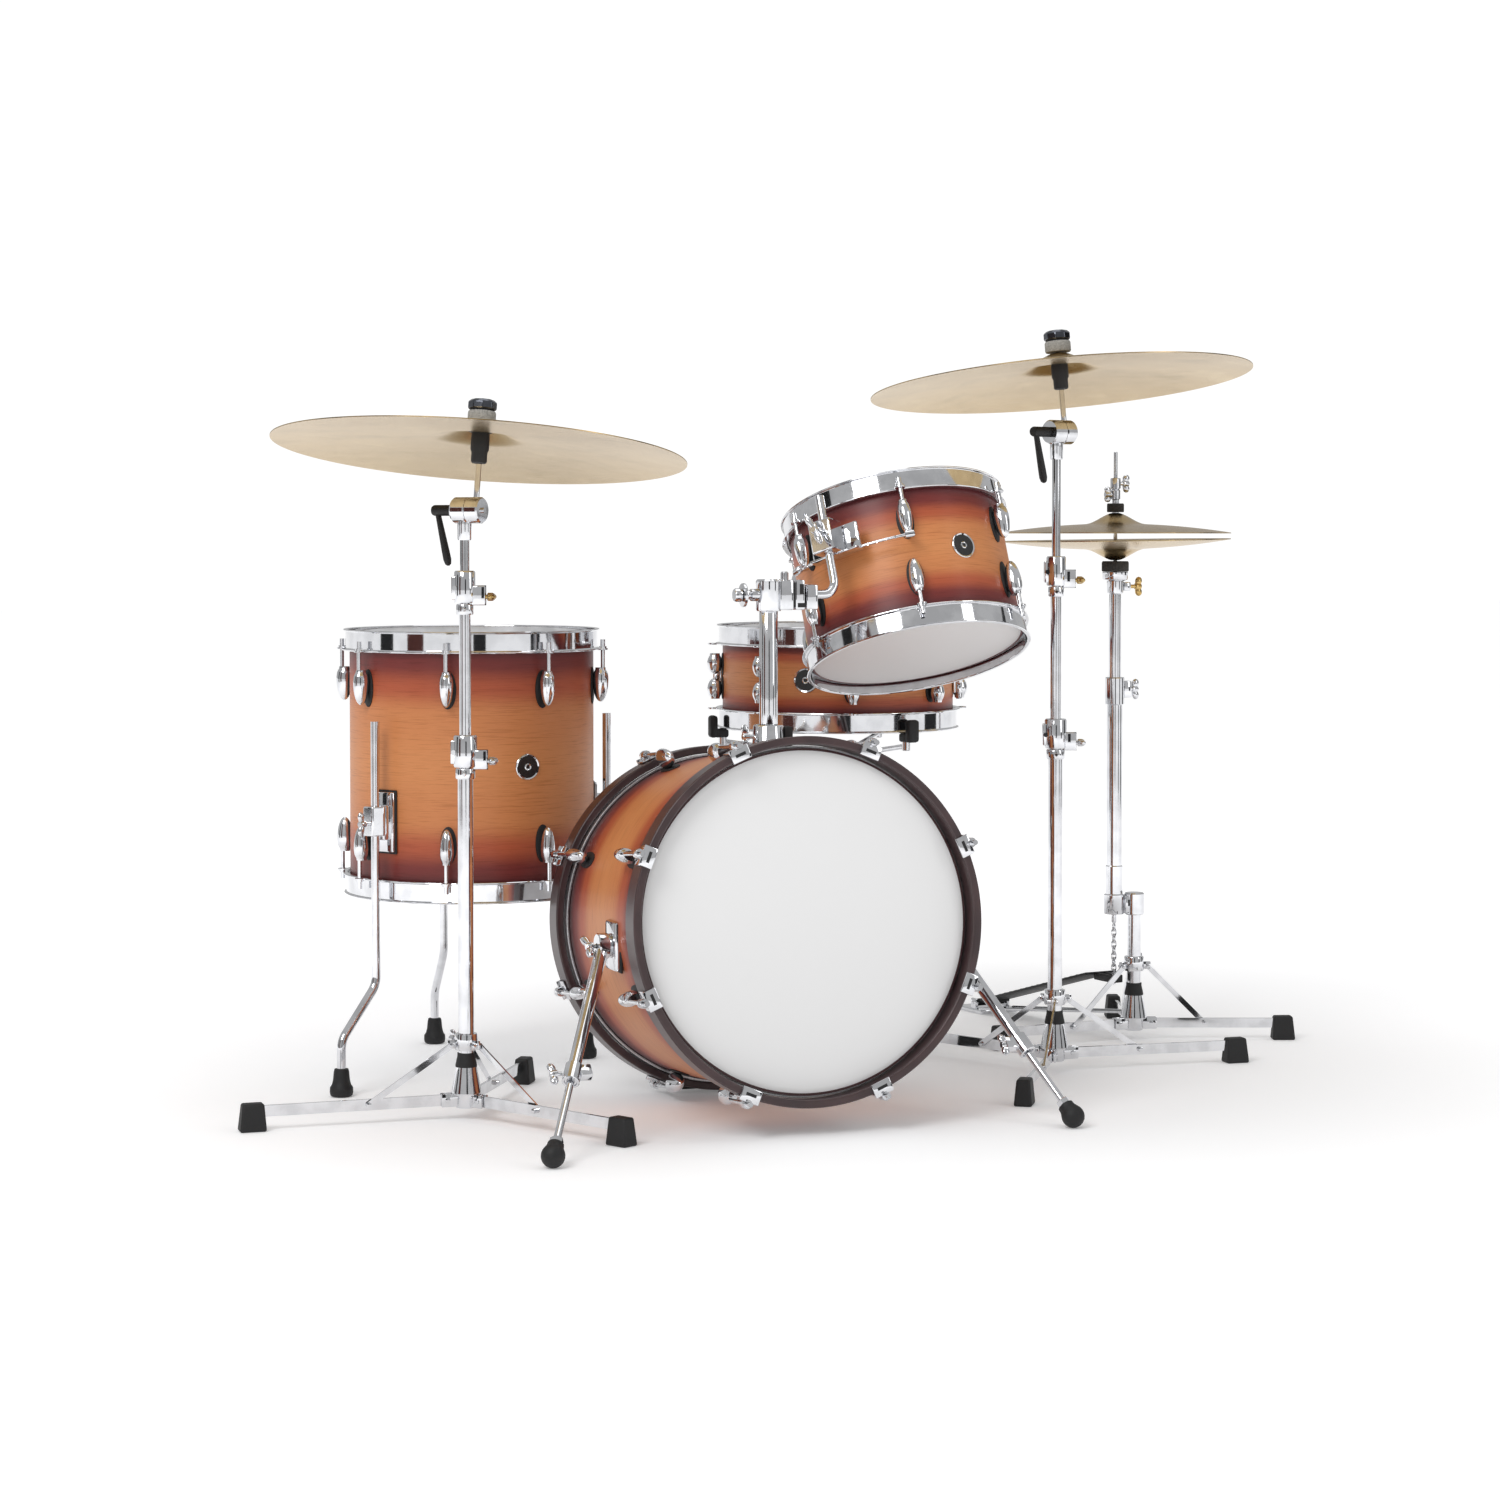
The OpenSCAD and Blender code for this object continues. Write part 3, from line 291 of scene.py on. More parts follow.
film, tree, shader = finish_of("coated_film", Base_Color=paint(0xE6E6E6), Roughness=0.5)
relief(tree, shader, speckle(tree, 900.0, 2.0), 0.08, 0.0003)
aluminium, tree, shader = finish_of("flesh_hoop_aluminium", Metallic=1.0, Roughness=0.34)
tree.links.new(ramp(tree, speckle(tree, 400.0, 2.0), [(0.3, 0xC4C5C7), (0.7, 0xDDDEE0)]),
               shader.inputs["Base Color"])


def drum_head(name, radius, half, ring_low, ring_high, ring_out):
    """The film with its collar, and its flesh hoop, both at one end of a drum."""
    skin = turned(name + "_film", [
        (0.0005, half - 0.0002), (radius - 0.004, half - 0.0002), (radius + 0.0008, half - ring_high),
        (radius + 0.0016, half - ring_high), (radius + 0.0012, half - 0.0045),
        (radius - 0.0008, half - 0.001), (radius - 0.004, half + 0.0004),
        (radius - 0.010, half + 0.0008), (0.0005, half + 0.0008)], 160)
    ring = turned(name + "_ring", [
        (radius + 0.0004, half - ring_low), (radius + ring_out, half - ring_low),
        (radius + ring_out, half - ring_high), (radius + 0.0004, half - ring_high)], 160, closed=True)
    return skin, ring


for name, (place, radius, half, body, *_) in drums.items():
    low, high, out = (0.028, 0.010, 0.0038) if name == "bass" else (0.014, 0.004, 0.0032)
    skin, ring = drum_head(name, radius, half, low, high, out)
    fitted(copies(skin, [place @ end for end in both_ends]), film, body, "head_film", name + "_heads")
    fitted(copies(broken(ring, 0.0008), [place @ end for end in both_ends]), aluminium, body, "chrome")

# ---- Lugs and claws ----
# Cast zinc bullet lugs, chromed, each standing on a thin black gasket. On the bass drum they pull
# on chromed claws that hook over the wooden hoops. The slot in each claw's face is painted shade: a
# thin black plate laid on the face.


def grained(name, tones, scale, rough, height=0.0, **values):
    """A finish whose tone, gloss and fine relief vary with one noise of the given scale per metre."""
    material, tree, shader = finish_of(name, **values)
    noise = speckle(tree, scale, 4.0)
    tree.links.new(ramp(tree, noise, [(0.35, tones[0]), (0.65, tones[1])]), shader.inputs["Base Color"])
    gloss = add_node(tree, "ShaderNodeMapRange", None, {"Value": noise, "To Min": rough[0],
                                                        "To Max": rough[1]})
    tree.links.new(gloss.outputs["Result"], shader.inputs["Roughness"])
    if height:
        relief(tree, shader, noise, 0.3, height)
    return material


# Chrome plate is nearly a mirror: handling leaves faint cloudy patches about 3 cm across.
chrome = grained("polished_chrome", (0xD4D5D8, 0xE4E5E8), 35.0, (0.03, 0.10), Metallic=1.0)
dark_chrome = grained("black_chrome", (0x4B4E54, 0x5E6168), 35.0, (0.12, 0.2), Metallic=1.0)
# Moulded rubber has a fine dull texture, a third of a millimetre across.
gasket_rubber = grained("moulded_rubber", (0x101011, 0x1B1B1C), 900.0, (0.5, 0.72), 0.00025)


def plated(piece, at, body, *stands_for):
    """The piece at its place, in chrome, on its body."""
    return fitted(copies(piece, [at]), chrome, body, "chrome", *stands_for)


def in_rubber(piece, at, body):
    """The piece at its place, in black rubber, on its body."""
    return fitted(copies(piece, [at]), gasket_rubber, body, "rubber")


def bullet_lug(name, length, width, depth):
    """A lug hanging nose-down from its mouth at z = 0, depth deep towards the shell."""
    neck = 0.009
    body = [neck + (length - neck) * (math.sin(math.pi / 2 * step / 9)) for step in range(9)]
    outline = [(0.0034, 0.0), (0.0064, 0.0), (0.0068, -0.0035), (0.0080, -0.0055)]
    for level in body:
        share = (level - neck) / (length - neck)
        bulge = 1 - 0.1 * (1 - min(1.0, share * 4)) ** 2
        outline.append((width / 2 * bulge * math.sqrt(1 - share ** 2.6), -level))
    outline.append((0.0006, -length))
    return copies(turned(name, outline, 32), [Matrix.Diagonal((depth / width, 1, 1, 1))])


def block(name, size, centre=(0, 0, 0), edge=0.0):
    """A squared block at its size and place, its edges broken."""
    bpy.ops.mesh.primitive_cube_add(size=1, location=centre, scale=size)
    piece = bpy.context.object
    piece.name = name
    bpy.ops.object.transform_apply(location=True, rotation=True, scale=True)
    return broken(piece, edge, 2) if edge else smooth(piece)


def turn(degrees, axis="Z"):
    return Matrix.Rotation(math.radians(degrees), 4, axis)


def shift(x, y=0.0, z=0.0):
    return Matrix.Translation((x, y, z))


def round_drum(count, first, place):
    """A place at each lug of a drum, on both ends, facing its own hoop."""
    return [place @ turn(first + 360 / count * i) @ end
            for end in both_ends for i in range(count)]


LUG_GAP, GASKET = 0.0005, 0.0016
for name, start, length, depth in (("bass", 0.042, 0.052, 0.030), ("tom", 0.034, 0.050, 0.024),
                                   ("floor_tom", 0.042, 0.050, 0.024), ("snare", 0.030, 0.032, 0.024)):
    place, radius, half, body, count, first = drums[name]
    rows = round_drum(count, first, place)
    lugs = bullet_lug(name + "_lug_bodies", length, 0.0205, depth)
    seat = radius + LUG_GAP + GASKET + depth / 2 - 0.0015
    copies(lugs, [spot @ shift(seat, 0, half - start) for spot in rows])
    fitted(lugs, chrome, body, "chrome", name + "_lugs")
    pad = turned(name + "_gaskets", [(1.0, 0.0), (1.0, GASKET), (0.92, GASKET + 0.0006)], 40)
    copies(pad, [spot @ shift(radius + LUG_GAP / 2 - 0.0006, 0, half - start - length * 0.52)
                 @ turn(90, "Y") @ Matrix.Diagonal((length * 0.54, 0.0120, 1, 1)) for spot in rows])
    fitted(pad, gasket_rubber, body, "rubber")

CLAW_WIDTH, CLAW_SHEET = 0.028, 0.003
rod_circle = hoop_outer + 0.008
claw = together(
    "bass_claw_bodies",
    block("face", (0.019, CLAW_WIDTH, CLAW_SHEET),
          (hoop_outer - 0.0035, 0, bass_half + CLAW_SHEET / 2 + 0.0002), 0.0012),
    block("hook", (0.0026, CLAW_WIDTH, 0.027), (hoop_outer + 0.0018, 0, bass_half - 0.0105), 0.0011),
    block("bridge", (0.009, 0.012, 0.015), (hoop_outer + 0.006, 0, bass_half - 0.0055), 0.0012),
    copies(turned("boss", [(0.0033, -0.013), (0.0062, -0.013), (0.0066, -0.011), (0.0066, 0.001),
                           (0.0056, 0.0032), (0.0033, 0.0032)], 28, closed=True),
           [shift(rod_circle, 0, bass_half)]))
claw_places = round_drum(*drums["bass"][4:], bass_place)
# Painted shade: a thin black rubber plate on each claw's face stands for the shadowed slot.
claw_slot_shade = block("bass_claw_slot_shade", (0.0042, 0.0150, 0.0010),
                  (hoop_outer - 0.0045, 0, bass_half + CLAW_SHEET + 0.0001), 0.0003)
fitted(copies(claw, claw_places), chrome, "kit_base", "chrome", "bass_claws")
fitted(copies(claw_slot_shade, claw_places), gasket_rubber, "kit_base", "rubber")

# ---- Steel hoops ----
# Triple-flanged steel hoops, rolled and chromed, with an ear for every tension rod. The upright
# wall mirrors the room, and the rolled lip above it draws a bright line.
STEEL, WALL_GAP, EAR = 0.0023, 0.0036, 0.0075
for name in ("tom", "floor_tom", "snare"):
    place, radius, half, body, count, first = drums[name]
    wall, low, high = radius + WALL_GAP, half - 0.0165, half + 0.0145
    rim = broken(turned(name + "_hoop_rims", [
        (wall, low + 0.002), (wall + 0.0007, low), (wall + 0.0068, low), (wall + 0.0078, low + 0.0010),
        (wall + 0.0078, low + STEEL), (wall + STEEL + 0.0012, low + STEEL),
        (wall + STEEL, low + STEEL + 0.0014), (wall + STEEL, high - STEEL - 0.001),
        (wall + STEEL + 0.0026, high - STEEL), (wall + STEEL + 0.0034, high - 0.0012),
        (wall + STEEL + 0.0024, high), (wall + 0.0008, high), (wall, high - 0.001)], 160,
        closed=True), 0.0003, 1)
    ear = copies(turned(name + "_ear", [(0.0034, 0.0), (EAR - 0.0005, 0.0), (EAR, 0.0006), (EAR, STEEL),
                                        (0.0034, STEEL)], 28, closed=True),
                 [spot @ shift(radius + 0.016, 0, low) for spot in round_drum(count, first, place)])
    copies(rim, [place @ end for end in both_ends])
    fitted(together(name + "_hoop_rims", rim, ear), chrome, body, "chrome", name + "_hoops")

# ---- Badges and vents ----
# A plain round badge of black enamel in a chromed rim, riveted over the air hole of each drum.
BADGE = 0.0185


def badge(name, place, radius, angle, body):
    """The rim and the enamel of one badge on a shell, at an angle round it."""
    spot = place @ turn(angle) @ shift(radius - 0.0003) @ turn(90, "Y")
    rim = turned(name + "_badge_rim", [
        (BADGE - 0.0026, 0.0), (BADGE, 0.0), (BADGE, 0.0012), (BADGE - 0.0009, 0.0022),
        (BADGE - 0.0026, 0.0014)], 56, closed=True)
    grommet = turned(name + "_badge_vent", [
        (0.0028, 0.0010), (0.0052, 0.0010), (0.0050, 0.0024), (0.0040, 0.0030), (0.0028, 0.0026)],
        32, closed=True)
    plate = turned(name + "_badge_plate", [(BADGE - 0.0022, 0.0), (BADGE - 0.0022, 0.0012)], 56)
    fitted(copies(together(name + "_badge_rim", rim, grommet), [spot]), chrome, body, "chrome")
    fitted(copies(plate, [spot]), enamel, body, "black_metal")


enamel = grained("black_enamel", (0x0B0B0C, 0x131315), 300.0, (0.35, 0.5), Coat_Weight=0.2,
                 Coat_Roughness=0.2)
for name, angle in (("tom", 185.0), ("floor_tom", -78.5), ("bass", 10.0), ("snare", -126.5)):
    place, radius, half, body = drums[name][:4]
    badge(name, place, radius, angle, body)

# ---- Spurs ----
# A chromed cast bracket on each side of the bass drum, a tube that folds on it, and a thin rod
# that slides in the tube under a wing screw and ends in a round rubber foot.


def between(name, start, end, radius, sides=32, bore=0):
    """A straight round bar from one point to another, or a tube if it has a bore, with broken ends."""
    start, end = Vector(start), Vector(end)
    bar_length = (end - start).length
    edge = min(radius * 0.2, 0.0008)
    outline = [(radius - edge, 0), (radius, edge), (radius, bar_length - edge),
               (radius - edge, bar_length)]
    if bore:
        outline = [(bore, 0)] + outline + [(bore, bar_length)]
    bar = turned(name, outline, sides, closed=bool(bore))
    facing = (end - start).to_track_quat("Z", "Y").to_matrix().to_4x4()
    return copies(bar, [Matrix.Translation(start) @ facing])


def aimed(origin, axis, up=(0, 0, 1)):
    """A place at the origin with +X along the axis and +Z as near up as it can be."""
    along = Vector(axis).normalized()
    side = Vector(up).cross(along).normalized()
    return Matrix.Translation(Vector(origin)) @ Matrix(
        (along, side, along.cross(side))).transposed().to_4x4()


def wing_screw(name, stem, span=0.028, thick=0.0042):
    """A wing screw along +X: a stem, a hub, and two rounded wings up and down."""
    hub = copies(turned("hub", [(0.0042, 0), (0.0056, 0.001), (0.0056, 0.007), (0.0040, 0.010)], 24),
                 [shift(stem - 0.002) @ turn(90, "Y")])
    shank = copies(turned("shank", [(0.003, -0.002), (0.003, stem)], 20), [turn(90, "Y")])
    wing = turned("wing", [(0.0006, 0.0), (0.0034, 0.0012), (0.0050, span * 0.16),
                           (0.0058, span * 0.3), (0.0046, span * 0.43), (0.0020, span * 0.5),
                           (0.0004, span * 0.5)], 20)
    wings = copies(wing, [shift(stem + 0.002) @ turn(tilt, "Y") @ Matrix.Diagonal(
        (1, thick / 0.0116 * 1.4, 1, 1)) for tilt in (14, 166)])
    return together(name, hub, shank, wings)


ROD_BORE = 0.0053
for side, sign in (("left", -1), ("right", 1)):
    fold = Vector(joints[f"spur_{side}_fold"]["pos_m"])
    up_spur = Vector(joints[f"spur_{side}_length"]["axis"])
    reach = (fold.z - 0.0155) / up_spur.z
    at = aimed(fold, (sign, 0, 0))
    along = [fold - up_spur * reach * share for share in (0, 0.66, 1)]
    grip = copies(wing_screw("grip", 0.004, 0.046, 0.008), [at @ shift(0.0112) @ turn(62, "X")])
    plate = copies(block("plate", (0.010, 0.046, 0.066), (0, 0, 0), 0.0045), [at @ shift(-0.0148)])
    cheek = copies(turned("cheek", [(0.018, 0), (0.018, 0.004), (0.0145, 0.0065)], 40),
                   [at @ shift(-0.0150) @ turn(90, "Y")])
    spur_gasket = copies(block(f"spur_{side}_gasket", (0.003, 0.050, 0.070), (0, 0, 0), 0.0012),
                         [at @ shift(-0.0196)])
    fitted(together(f"spur_{side}_bracket", plate, cheek, grip), chrome, "kit_base", "chrome",
           *(["spur_brackets"] if side == "left" else []))
    fitted(spur_gasket, gasket_rubber, "kit_base", "rubber")
    knuckle = copies(turned("knuckle", [
        (0.0042, -0.0078), (0.0158, -0.0078), (0.0172, -0.0062), (0.0172, 0.0062),
        (0.0158, 0.0078), (0.0042, 0.0078)], 48, closed=True), [at @ turn(90, "Y")])
    tube = between("tube", along[0] - up_spur * 0.012, along[1], 0.0085, bore=ROD_BORE)
    sleeve_at = along[1] + up_spur * 0.014
    sleeve = between("sleeve", along[1] - up_spur * 0.002, along[1] + up_spur * 0.026, 0.0118,
                     bore=0.0084)
    lug = copies(block("lug", (0.016, 0.014, 0.018), (-0.0168, 0, 0), 0.002), [
        aimed(sleeve_at, (sign, 0, 0), up_spur)])
    screw = copies(wing_screw("screw", 0.006, 0.034, 0.006), [
        aimed(sleeve_at, (-1, 0, 0), up_spur) @ shift(0.016)])
    fitted(together(f"spur_{side}_tube", knuckle, tube, sleeve, lug, screw), chrome, f"spur_{side}",
           "chrome", f"spur_tube_{side}")
    rod = between("rod", along[1] + up_spur * 0.004, along[2] + up_spur * 0.018, 0.005)
    nut = between("nut", along[2] + up_spur * 0.019, along[2] + up_spur * 0.027, 0.0092, 6)
    fitted(together(f"spur_{side}_rod", rod, nut), chrome, f"spur_rod_{side}", "chrome",
           f"spur_rod_{side}")
    foot = turned(f"spur_{side}_foot", [(0.0006, -0.0155)] + [
        (0.0155 * math.cos(math.radians(a)), 0.0155 * math.sin(math.radians(a)))
        for a in range(-75, 40, 15)] + [(0.0112, 0.0130), (0.0106, 0.0185), (0.0060, 0.0195)], 40)
    foot_at = Matrix.Translation(along[2]) @ up_spur.to_track_quat("Z", "Y").to_matrix().to_4x4()
    in_rubber(foot, foot_at, f"spur_rod_{side}")

# ---- Tom holder ----
# A chromed post in a base on the bass drum, a split block on its top with a big round-flanged
# key, and an L-shaped rod that the tom's mount slides on.


HALF_INCH_ROD = 0.00635  # its radius


def bent_rod(name, points, radius, bend, sides=10):
    """A round rod through the points, each inner corner bent to the given radius."""
    points = [Vector(p) for p in points]
    path = [points[0]]
    for before, corner, after in zip(points, points[1:], points[2:]):
        into, out = (before - corner).normalized(), (after - corner).normalized()
        half_turn = into.angle(out) / 2
        setback = bend / math.tan(half_turn)
        hub = corner + (into + out).normalized() * bend / math.sin(half_turn)
        arm_in, arm_out = corner + into * setback - hub, corner + out * setback - hub
        sweep = arm_in.angle(arm_out)
        path += [hub + (arm_in * math.sin(sweep * (1 - s / 8)) + arm_out * math.sin(sweep * s / 8))
                 / math.sin(sweep) for s in range(9)]
    path.append(points[-1])
    curve = bpy.data.curves.new(name, "CURVE")
    curve.dimensions, curve.bevel_depth, curve.bevel_resolution = "3D", radius, sides
    curve.use_fill_caps = True
    spline = curve.splines.new("POLY")
    spline.points.add(len(path) - 1)
    for point, place in zip(spline.points, path):
        point.co = (*place, 1)
    rod = bpy.data.objects.new(name, curve)
    bpy.context.collection.objects.link(rod)
    bpy.ops.object.select_all(action="DESELECT")
    rod.select_set(True)
    bpy.context.view_layer.objects.active = rod
    bpy.ops.object.convert(target="MESH")
    return smooth(rod)


elbow = Vector(joints["tom_swing"]["pos_m"])
post = elbow - Vector((0.1, 0, 0))
post_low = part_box("tom_post")[0].z
saddle_z = middle("bass_shell").z + BASS_RADIUS
saddle = together(
    "tom_post_saddle",
    block("plate", (0.070, 0.050, 0.020), (0, 0, -0.004), 0.005),
    turned("collar", [(0.0128, -0.010), (0.0245, -0.010), (0.0245, 0.010), (0.0225, 0.014),
                      (0.0210, 0.036), (0.0195, 0.038), (0.0128, 0.038)], 56, closed=True),
    copies(wing_screw("screw", 0.010, 0.034), [shift(-0.020, 0, 0.022) @ turn(180)]))
plated(saddle, shift(post.x, post.y, saddle_z), "kit_base", "post_base")
latch = block("tom_post_latch", (0.013, 0.016, 0.028), (post.x + 0.026, post.y - 0.004,
                                                        saddle_z + 0.022), 0.004)
fitted(latch, gasket_rubber, "kit_base", "rubber")
holder = together(
    "tom_holder_block",
    turned("post", [(0.0120, post_low), (0.0127, post_low + 0.001), (0.0127, post.z - 0.016),
                    (0.0120, post.z - 0.015)], 56),
    turned("cap", [(0.0165, post.z - 0.022), (0.0175, post.z - 0.020), (0.0175, post.z + 0.019),
                   (0.0155, post.z + 0.0215)], 48),
    block("split", (0.020, 0.033, 0.041), (0.021, 0, post.z), 0.0022),
    block("jaw_back", (0.014, 0.033, 0.041), (0.0405, 0, post.z), 0.0022),
    block("jaw_front", (0.017, 0.036, 0.034), (0.0575, 0, post.z - 0.003), 0.0022),
    copies(turned("key", [(0.0075, 0.0), (0.0085, 0.003), (0.0085, 0.014), (0.0060, 0.016),
                          (0.0060, 0.022), (0.0160, 0.0225), (0.0165, 0.0245), (0.0160, 0.0265),
                          (0.0060, 0.0270), (0.0088, 0.028), (0.0094, 0.031), (0.0094, 0.036),
                          (0.0080, 0.038)], 36), [shift(-0.012, 0, post.z) @ turn(-90, "Y")]),
    copies(turned("screw", [(0.0055, 0), (0.0055, 0.012), (0.0040, 0.014)], 28),
           [shift(0.021, -0.006, post.z + 0.018)]))
plated(holder, shift(post.x, post.y), "tom_post", "tom_post")
# Painted shade: a black block fills the gap between the split block and the jaw, and thin black plates on the
# jaw's face stand for shadowed openings.
window_shade_patch = together(
    "tom_holder_window_shade",
    block("gap", (0.0040, 0.0300, 0.0340), (0.0322, 0, post.z)),
    block("upper", (0.0060, 0.0006, 0.0140), (0.0425, -0.0168, post.z + 0.008), 0.0002),
    block("lower", (0.0120, 0.0006, 0.0060), (0.0425, -0.0168, post.z - 0.014), 0.0002))
in_rubber(window_shade_patch, shift(post.x, post.y), "tom_post")
fitted(bent_rod("tom_arm_rod", [post + Vector((0.026, 0, 0)), elbow, elbow + tom_axis * 0.145],
                HALF_INCH_ROD, 0.020), chrome, "tom_arm", "chrome", "tom_arm")

# The mount hangs from the lugs on each side by thin bent rods, so nothing is bolted to the shell.
MOUNT_TURN, MOUNT_OUT = 120.7, 0.0484
mount_at = tom_place @ turn(MOUNT_TURN)
mount = together(
    "tom_mount_block",
    broken(copies(turned("clamp", [(0.0064, -0.023), (0.0190, -0.023), (0.0190, 0.023),
                                   (0.0064, 0.023)], 4, closed=True),
                  [shift(TOM_RADIUS + MOUNT_OUT, 0, 0.030) @ turn(45)
                   @ Matrix.Diagonal((1.3, 1.3, 1, 1))]), 0.0025),
    block("back", (0.007, 0.078, 0.040), (TOM_RADIUS + 0.0255, 0, 0.028), 0.0030),
    block("lip", (0.020, 0.078, 0.0035), (TOM_RADIUS + 0.030, 0, 0.007), 0.0012),
    copies(wing_screw("screw", 0.012, 0.050, 0.007), [
        shift(TOM_RADIUS + MOUNT_OUT + 0.014, 0, 0.036) @ turn(20, "X")]))
plated(mount, mount_at, "tom", "tom_mount")
WIRE_OUT = TOM_RADIUS + 0.0265
wires = []
for lug_turn in (95.0, 155.0):
    path = [tom_place @ turn(MOUNT_TURN + (lug_turn - MOUNT_TURN) * s / 8)
            @ Vector((WIRE_OUT, 0, 0.009 + 0.004 * s / 8)) for s in range(1, 9)]
    wires.append(bent_rod("wire", path, 0.0021, 0.2, 5))
    end = tom_place @ turn(lug_turn) @ shift(TOM_RADIUS + 0.0265, 0, 0.013)
    wires.append(copies(turned("knurl", [(0.0040, -0.007), (0.0052, -0.006), (0.0052, 0.006),
                                         (0.0040, 0.007)], 14), [end @ turn(90, "X")]))
    wires.append(copies(block("hanger", (0.018, 0.010, 0.006), (0, 0, 0), 0.0015),
                        [end @ shift(-0.008, 0, 0.004)]))
fitted(together("tom_suspension", *wires), chrome, "tom", "chrome")

# ---- Floor tom legs ----
# Three bent chromed rods in cast brackets, each on a bell-shaped rubber foot.
LEG_OUT, TOE_OUT, BRACKET_Z = FLOOR_RADIUS + 0.025, 0.070, 0.380
floor_low = Vector((middle("floor_tom_shell").x, middle("floor_tom_shell").y, 0))
for name, angle, toe in (("front", 213, 213), ("right", 357, 100), ("rear", 88, 88)):
    at = Matrix.Translation(floor_low) @ turn(angle)
    toe_at = at @ shift(LEG_OUT) @ turn(toe - angle)
    leg = bent_rod(f"floor_leg_{name}_rod", [toe_at @ Vector(p) for p in (
        (0, 0, 0.524), (0, 0, 0.150), (TOE_OUT, 0, 0.078), (TOE_OUT, 0, 0.016))], HALF_INCH_ROD, 0.030)
    fitted(leg, chrome, f"floor_tom_leg_{name}", "chrome", f"floor_tom_leg_{name}")
    foot = turned(f"floor_leg_{name}_foot", [
        (0.0120, 0.0), (0.0155, 0.0020), (0.0165, 0.0065), (0.0162, 0.0130), (0.0135, 0.0170),
        (0.0118, 0.0240), (0.0108, 0.0350), (0.0098, 0.0390), (0.0070, 0.0398)], 40)
    in_rubber(foot, toe_at @ shift(TOE_OUT), f"floor_tom_leg_{name}")
    bracket = together(
        f"floor_bracket_{name}",
        block("plate", (0.0055, 0.034, 0.086), (FLOOR_RADIUS + 0.0045, 0, BRACKET_Z), 0.0026),
        block("root", (0.016, 0.024, 0.050), (FLOOR_RADIUS + 0.011, 0, BRACKET_Z), 0.003),
        broken(copies(turned("body", [(0.0066, -0.021), (0.0180, -0.021), (0.0180, 0.021),
                                      (0.0066, 0.021)], 6, closed=True), [shift(LEG_OUT, 0, 0.383)]),
               0.0022),
        copies(wing_screw("screw", 0.010, 0.034, 0.006), [shift(LEG_OUT + 0.014, 0, BRACKET_Z)]))
    plated(bracket, at, "kit_base", *(["floor_tom_brackets"] if name == "front" else []))
    pad = block(f"floor_bracket_{name}_gasket", (0.0022, 0.038, 0.091),
                (FLOOR_RADIUS + 0.0012, 0, BRACKET_Z), 0.001)
    in_rubber(pad, at, "kit_base")

# ---- Stand bases ----
# Flat-base tripods: three flat steel legs pinned to a cone at the pole's foot, a collar that
# slides on the pole with a flat brace to each leg, and black wedge feet.
FOOT_LONG, BASE_BORE = 0.036, 0.0106
hat_rod = middle("hihat_top_cymbal")
ride_pole, crash_pole = Vector(joints["ride_tilt"]["pos_m"]), Vector(joints["crash_tilt"]["pos_m"])
bases = (("ride", ride_pole, 0.306, (59, 179, 299), 0.107),
         ("crash", crash_pole, 0.306, (-3, 117, 237), 0.112),
         ("hihat", hat_rod + Vector((0.031, -0.008, 0)), 0.250, (-18, 72, 185), 0.122),
         ("snare", middle("snare_shell"), 0.200, (30, 150, 270), 0.107))
feet, hubs, sleeves = [], [], []
for name, pole, reach, turns, collar in bases:
    at = shift(pole.x, pole.y)
    hubs.append(copies(turned("cone", [
        (BASE_BORE, 0.034), (0.0190, 0.034), (0.0205, 0.0365), (0.0200, 0.040), (0.0150, 0.066),
        (0.0145, 0.071), (BASE_BORE, 0.071)], 48, closed=True), [at]))
    hubs.append(copies(turned("boss", [(0.0140, 0.016), (0.0150, 0.0175), (0.0150, 0.035)], 40), [at]))
    sleeves.append(copies(turned("sleeve", [
        (BASE_BORE, 0.070), (0.0142, 0.070), (0.0148, 0.073), (0.0120, 0.086), (0.0120, 0.090),
        (BASE_BORE, 0.090)], 40, closed=True), [at]))
    hubs.append(copies(turned("collar", [
        (BASE_BORE, collar - 0.013), (0.0148, collar - 0.013), (0.0156, collar - 0.011),
        (0.0156, collar + 0.007), (0.0148, collar + 0.009), (BASE_BORE, collar + 0.009)], 40,
        closed=True), [at]))
    hubs.append(copies(wing_screw("screw", 0.009, 0.026), [
        at @ turn(turns[0] + 60) @ shift(0.014, 0, collar - 0.001)]))
    for angle in turns:
        leg_at = at @ turn(angle)
        for cheek in (-1, 1):
            hubs.append(copies(block("clevis", (0.026, 0.0032, 0.018), (0.0225, 0.0048 * cheek, 0.027),
                                     0.0008), [leg_at]))
        hubs.append(copies(block("ear", (0.013, 0.0032, 0.012), (0.0195, 0, collar - 0.005), 0.0008),
                           [leg_at]))
        pins = (((0.027, 0.027), 0.0038, 0.0150), ((0.021, collar - 0.006), 0.0030, 0.0150),
                ((reach * 0.44, 0.027), 0.0034, 0.0155))
        for (out, level), pin_radius, pin_length in pins:
            hubs.append(copies(turned("rivet", [
                (pin_radius * 0.5, -pin_length / 2 - 0.0006), (pin_radius, -pin_length / 2),
                (pin_radius, pin_length / 2), (pin_radius * 0.5, pin_length / 2 + 0.0006)], 16),
                [leg_at @ shift(out, 0, level) @ turn(90, "X")]))
        foot = block("foot", (FOOT_LONG, 0.026, 0.037), (reach - FOOT_LONG / 2 + 0.002, 0, 0.0187))
        bpy.context.view_layer.objects.active = foot
        for vertex in foot.data.vertices:
            if vertex.co.z > 0.02:
                vertex.co.y *= 0.74
                vertex.co.x += -0.004 if vertex.co.x > reach - FOOT_LONG / 2 else 0.003
        feet.append(copies(broken(foot, 0.0030, 3), [leg_at]))
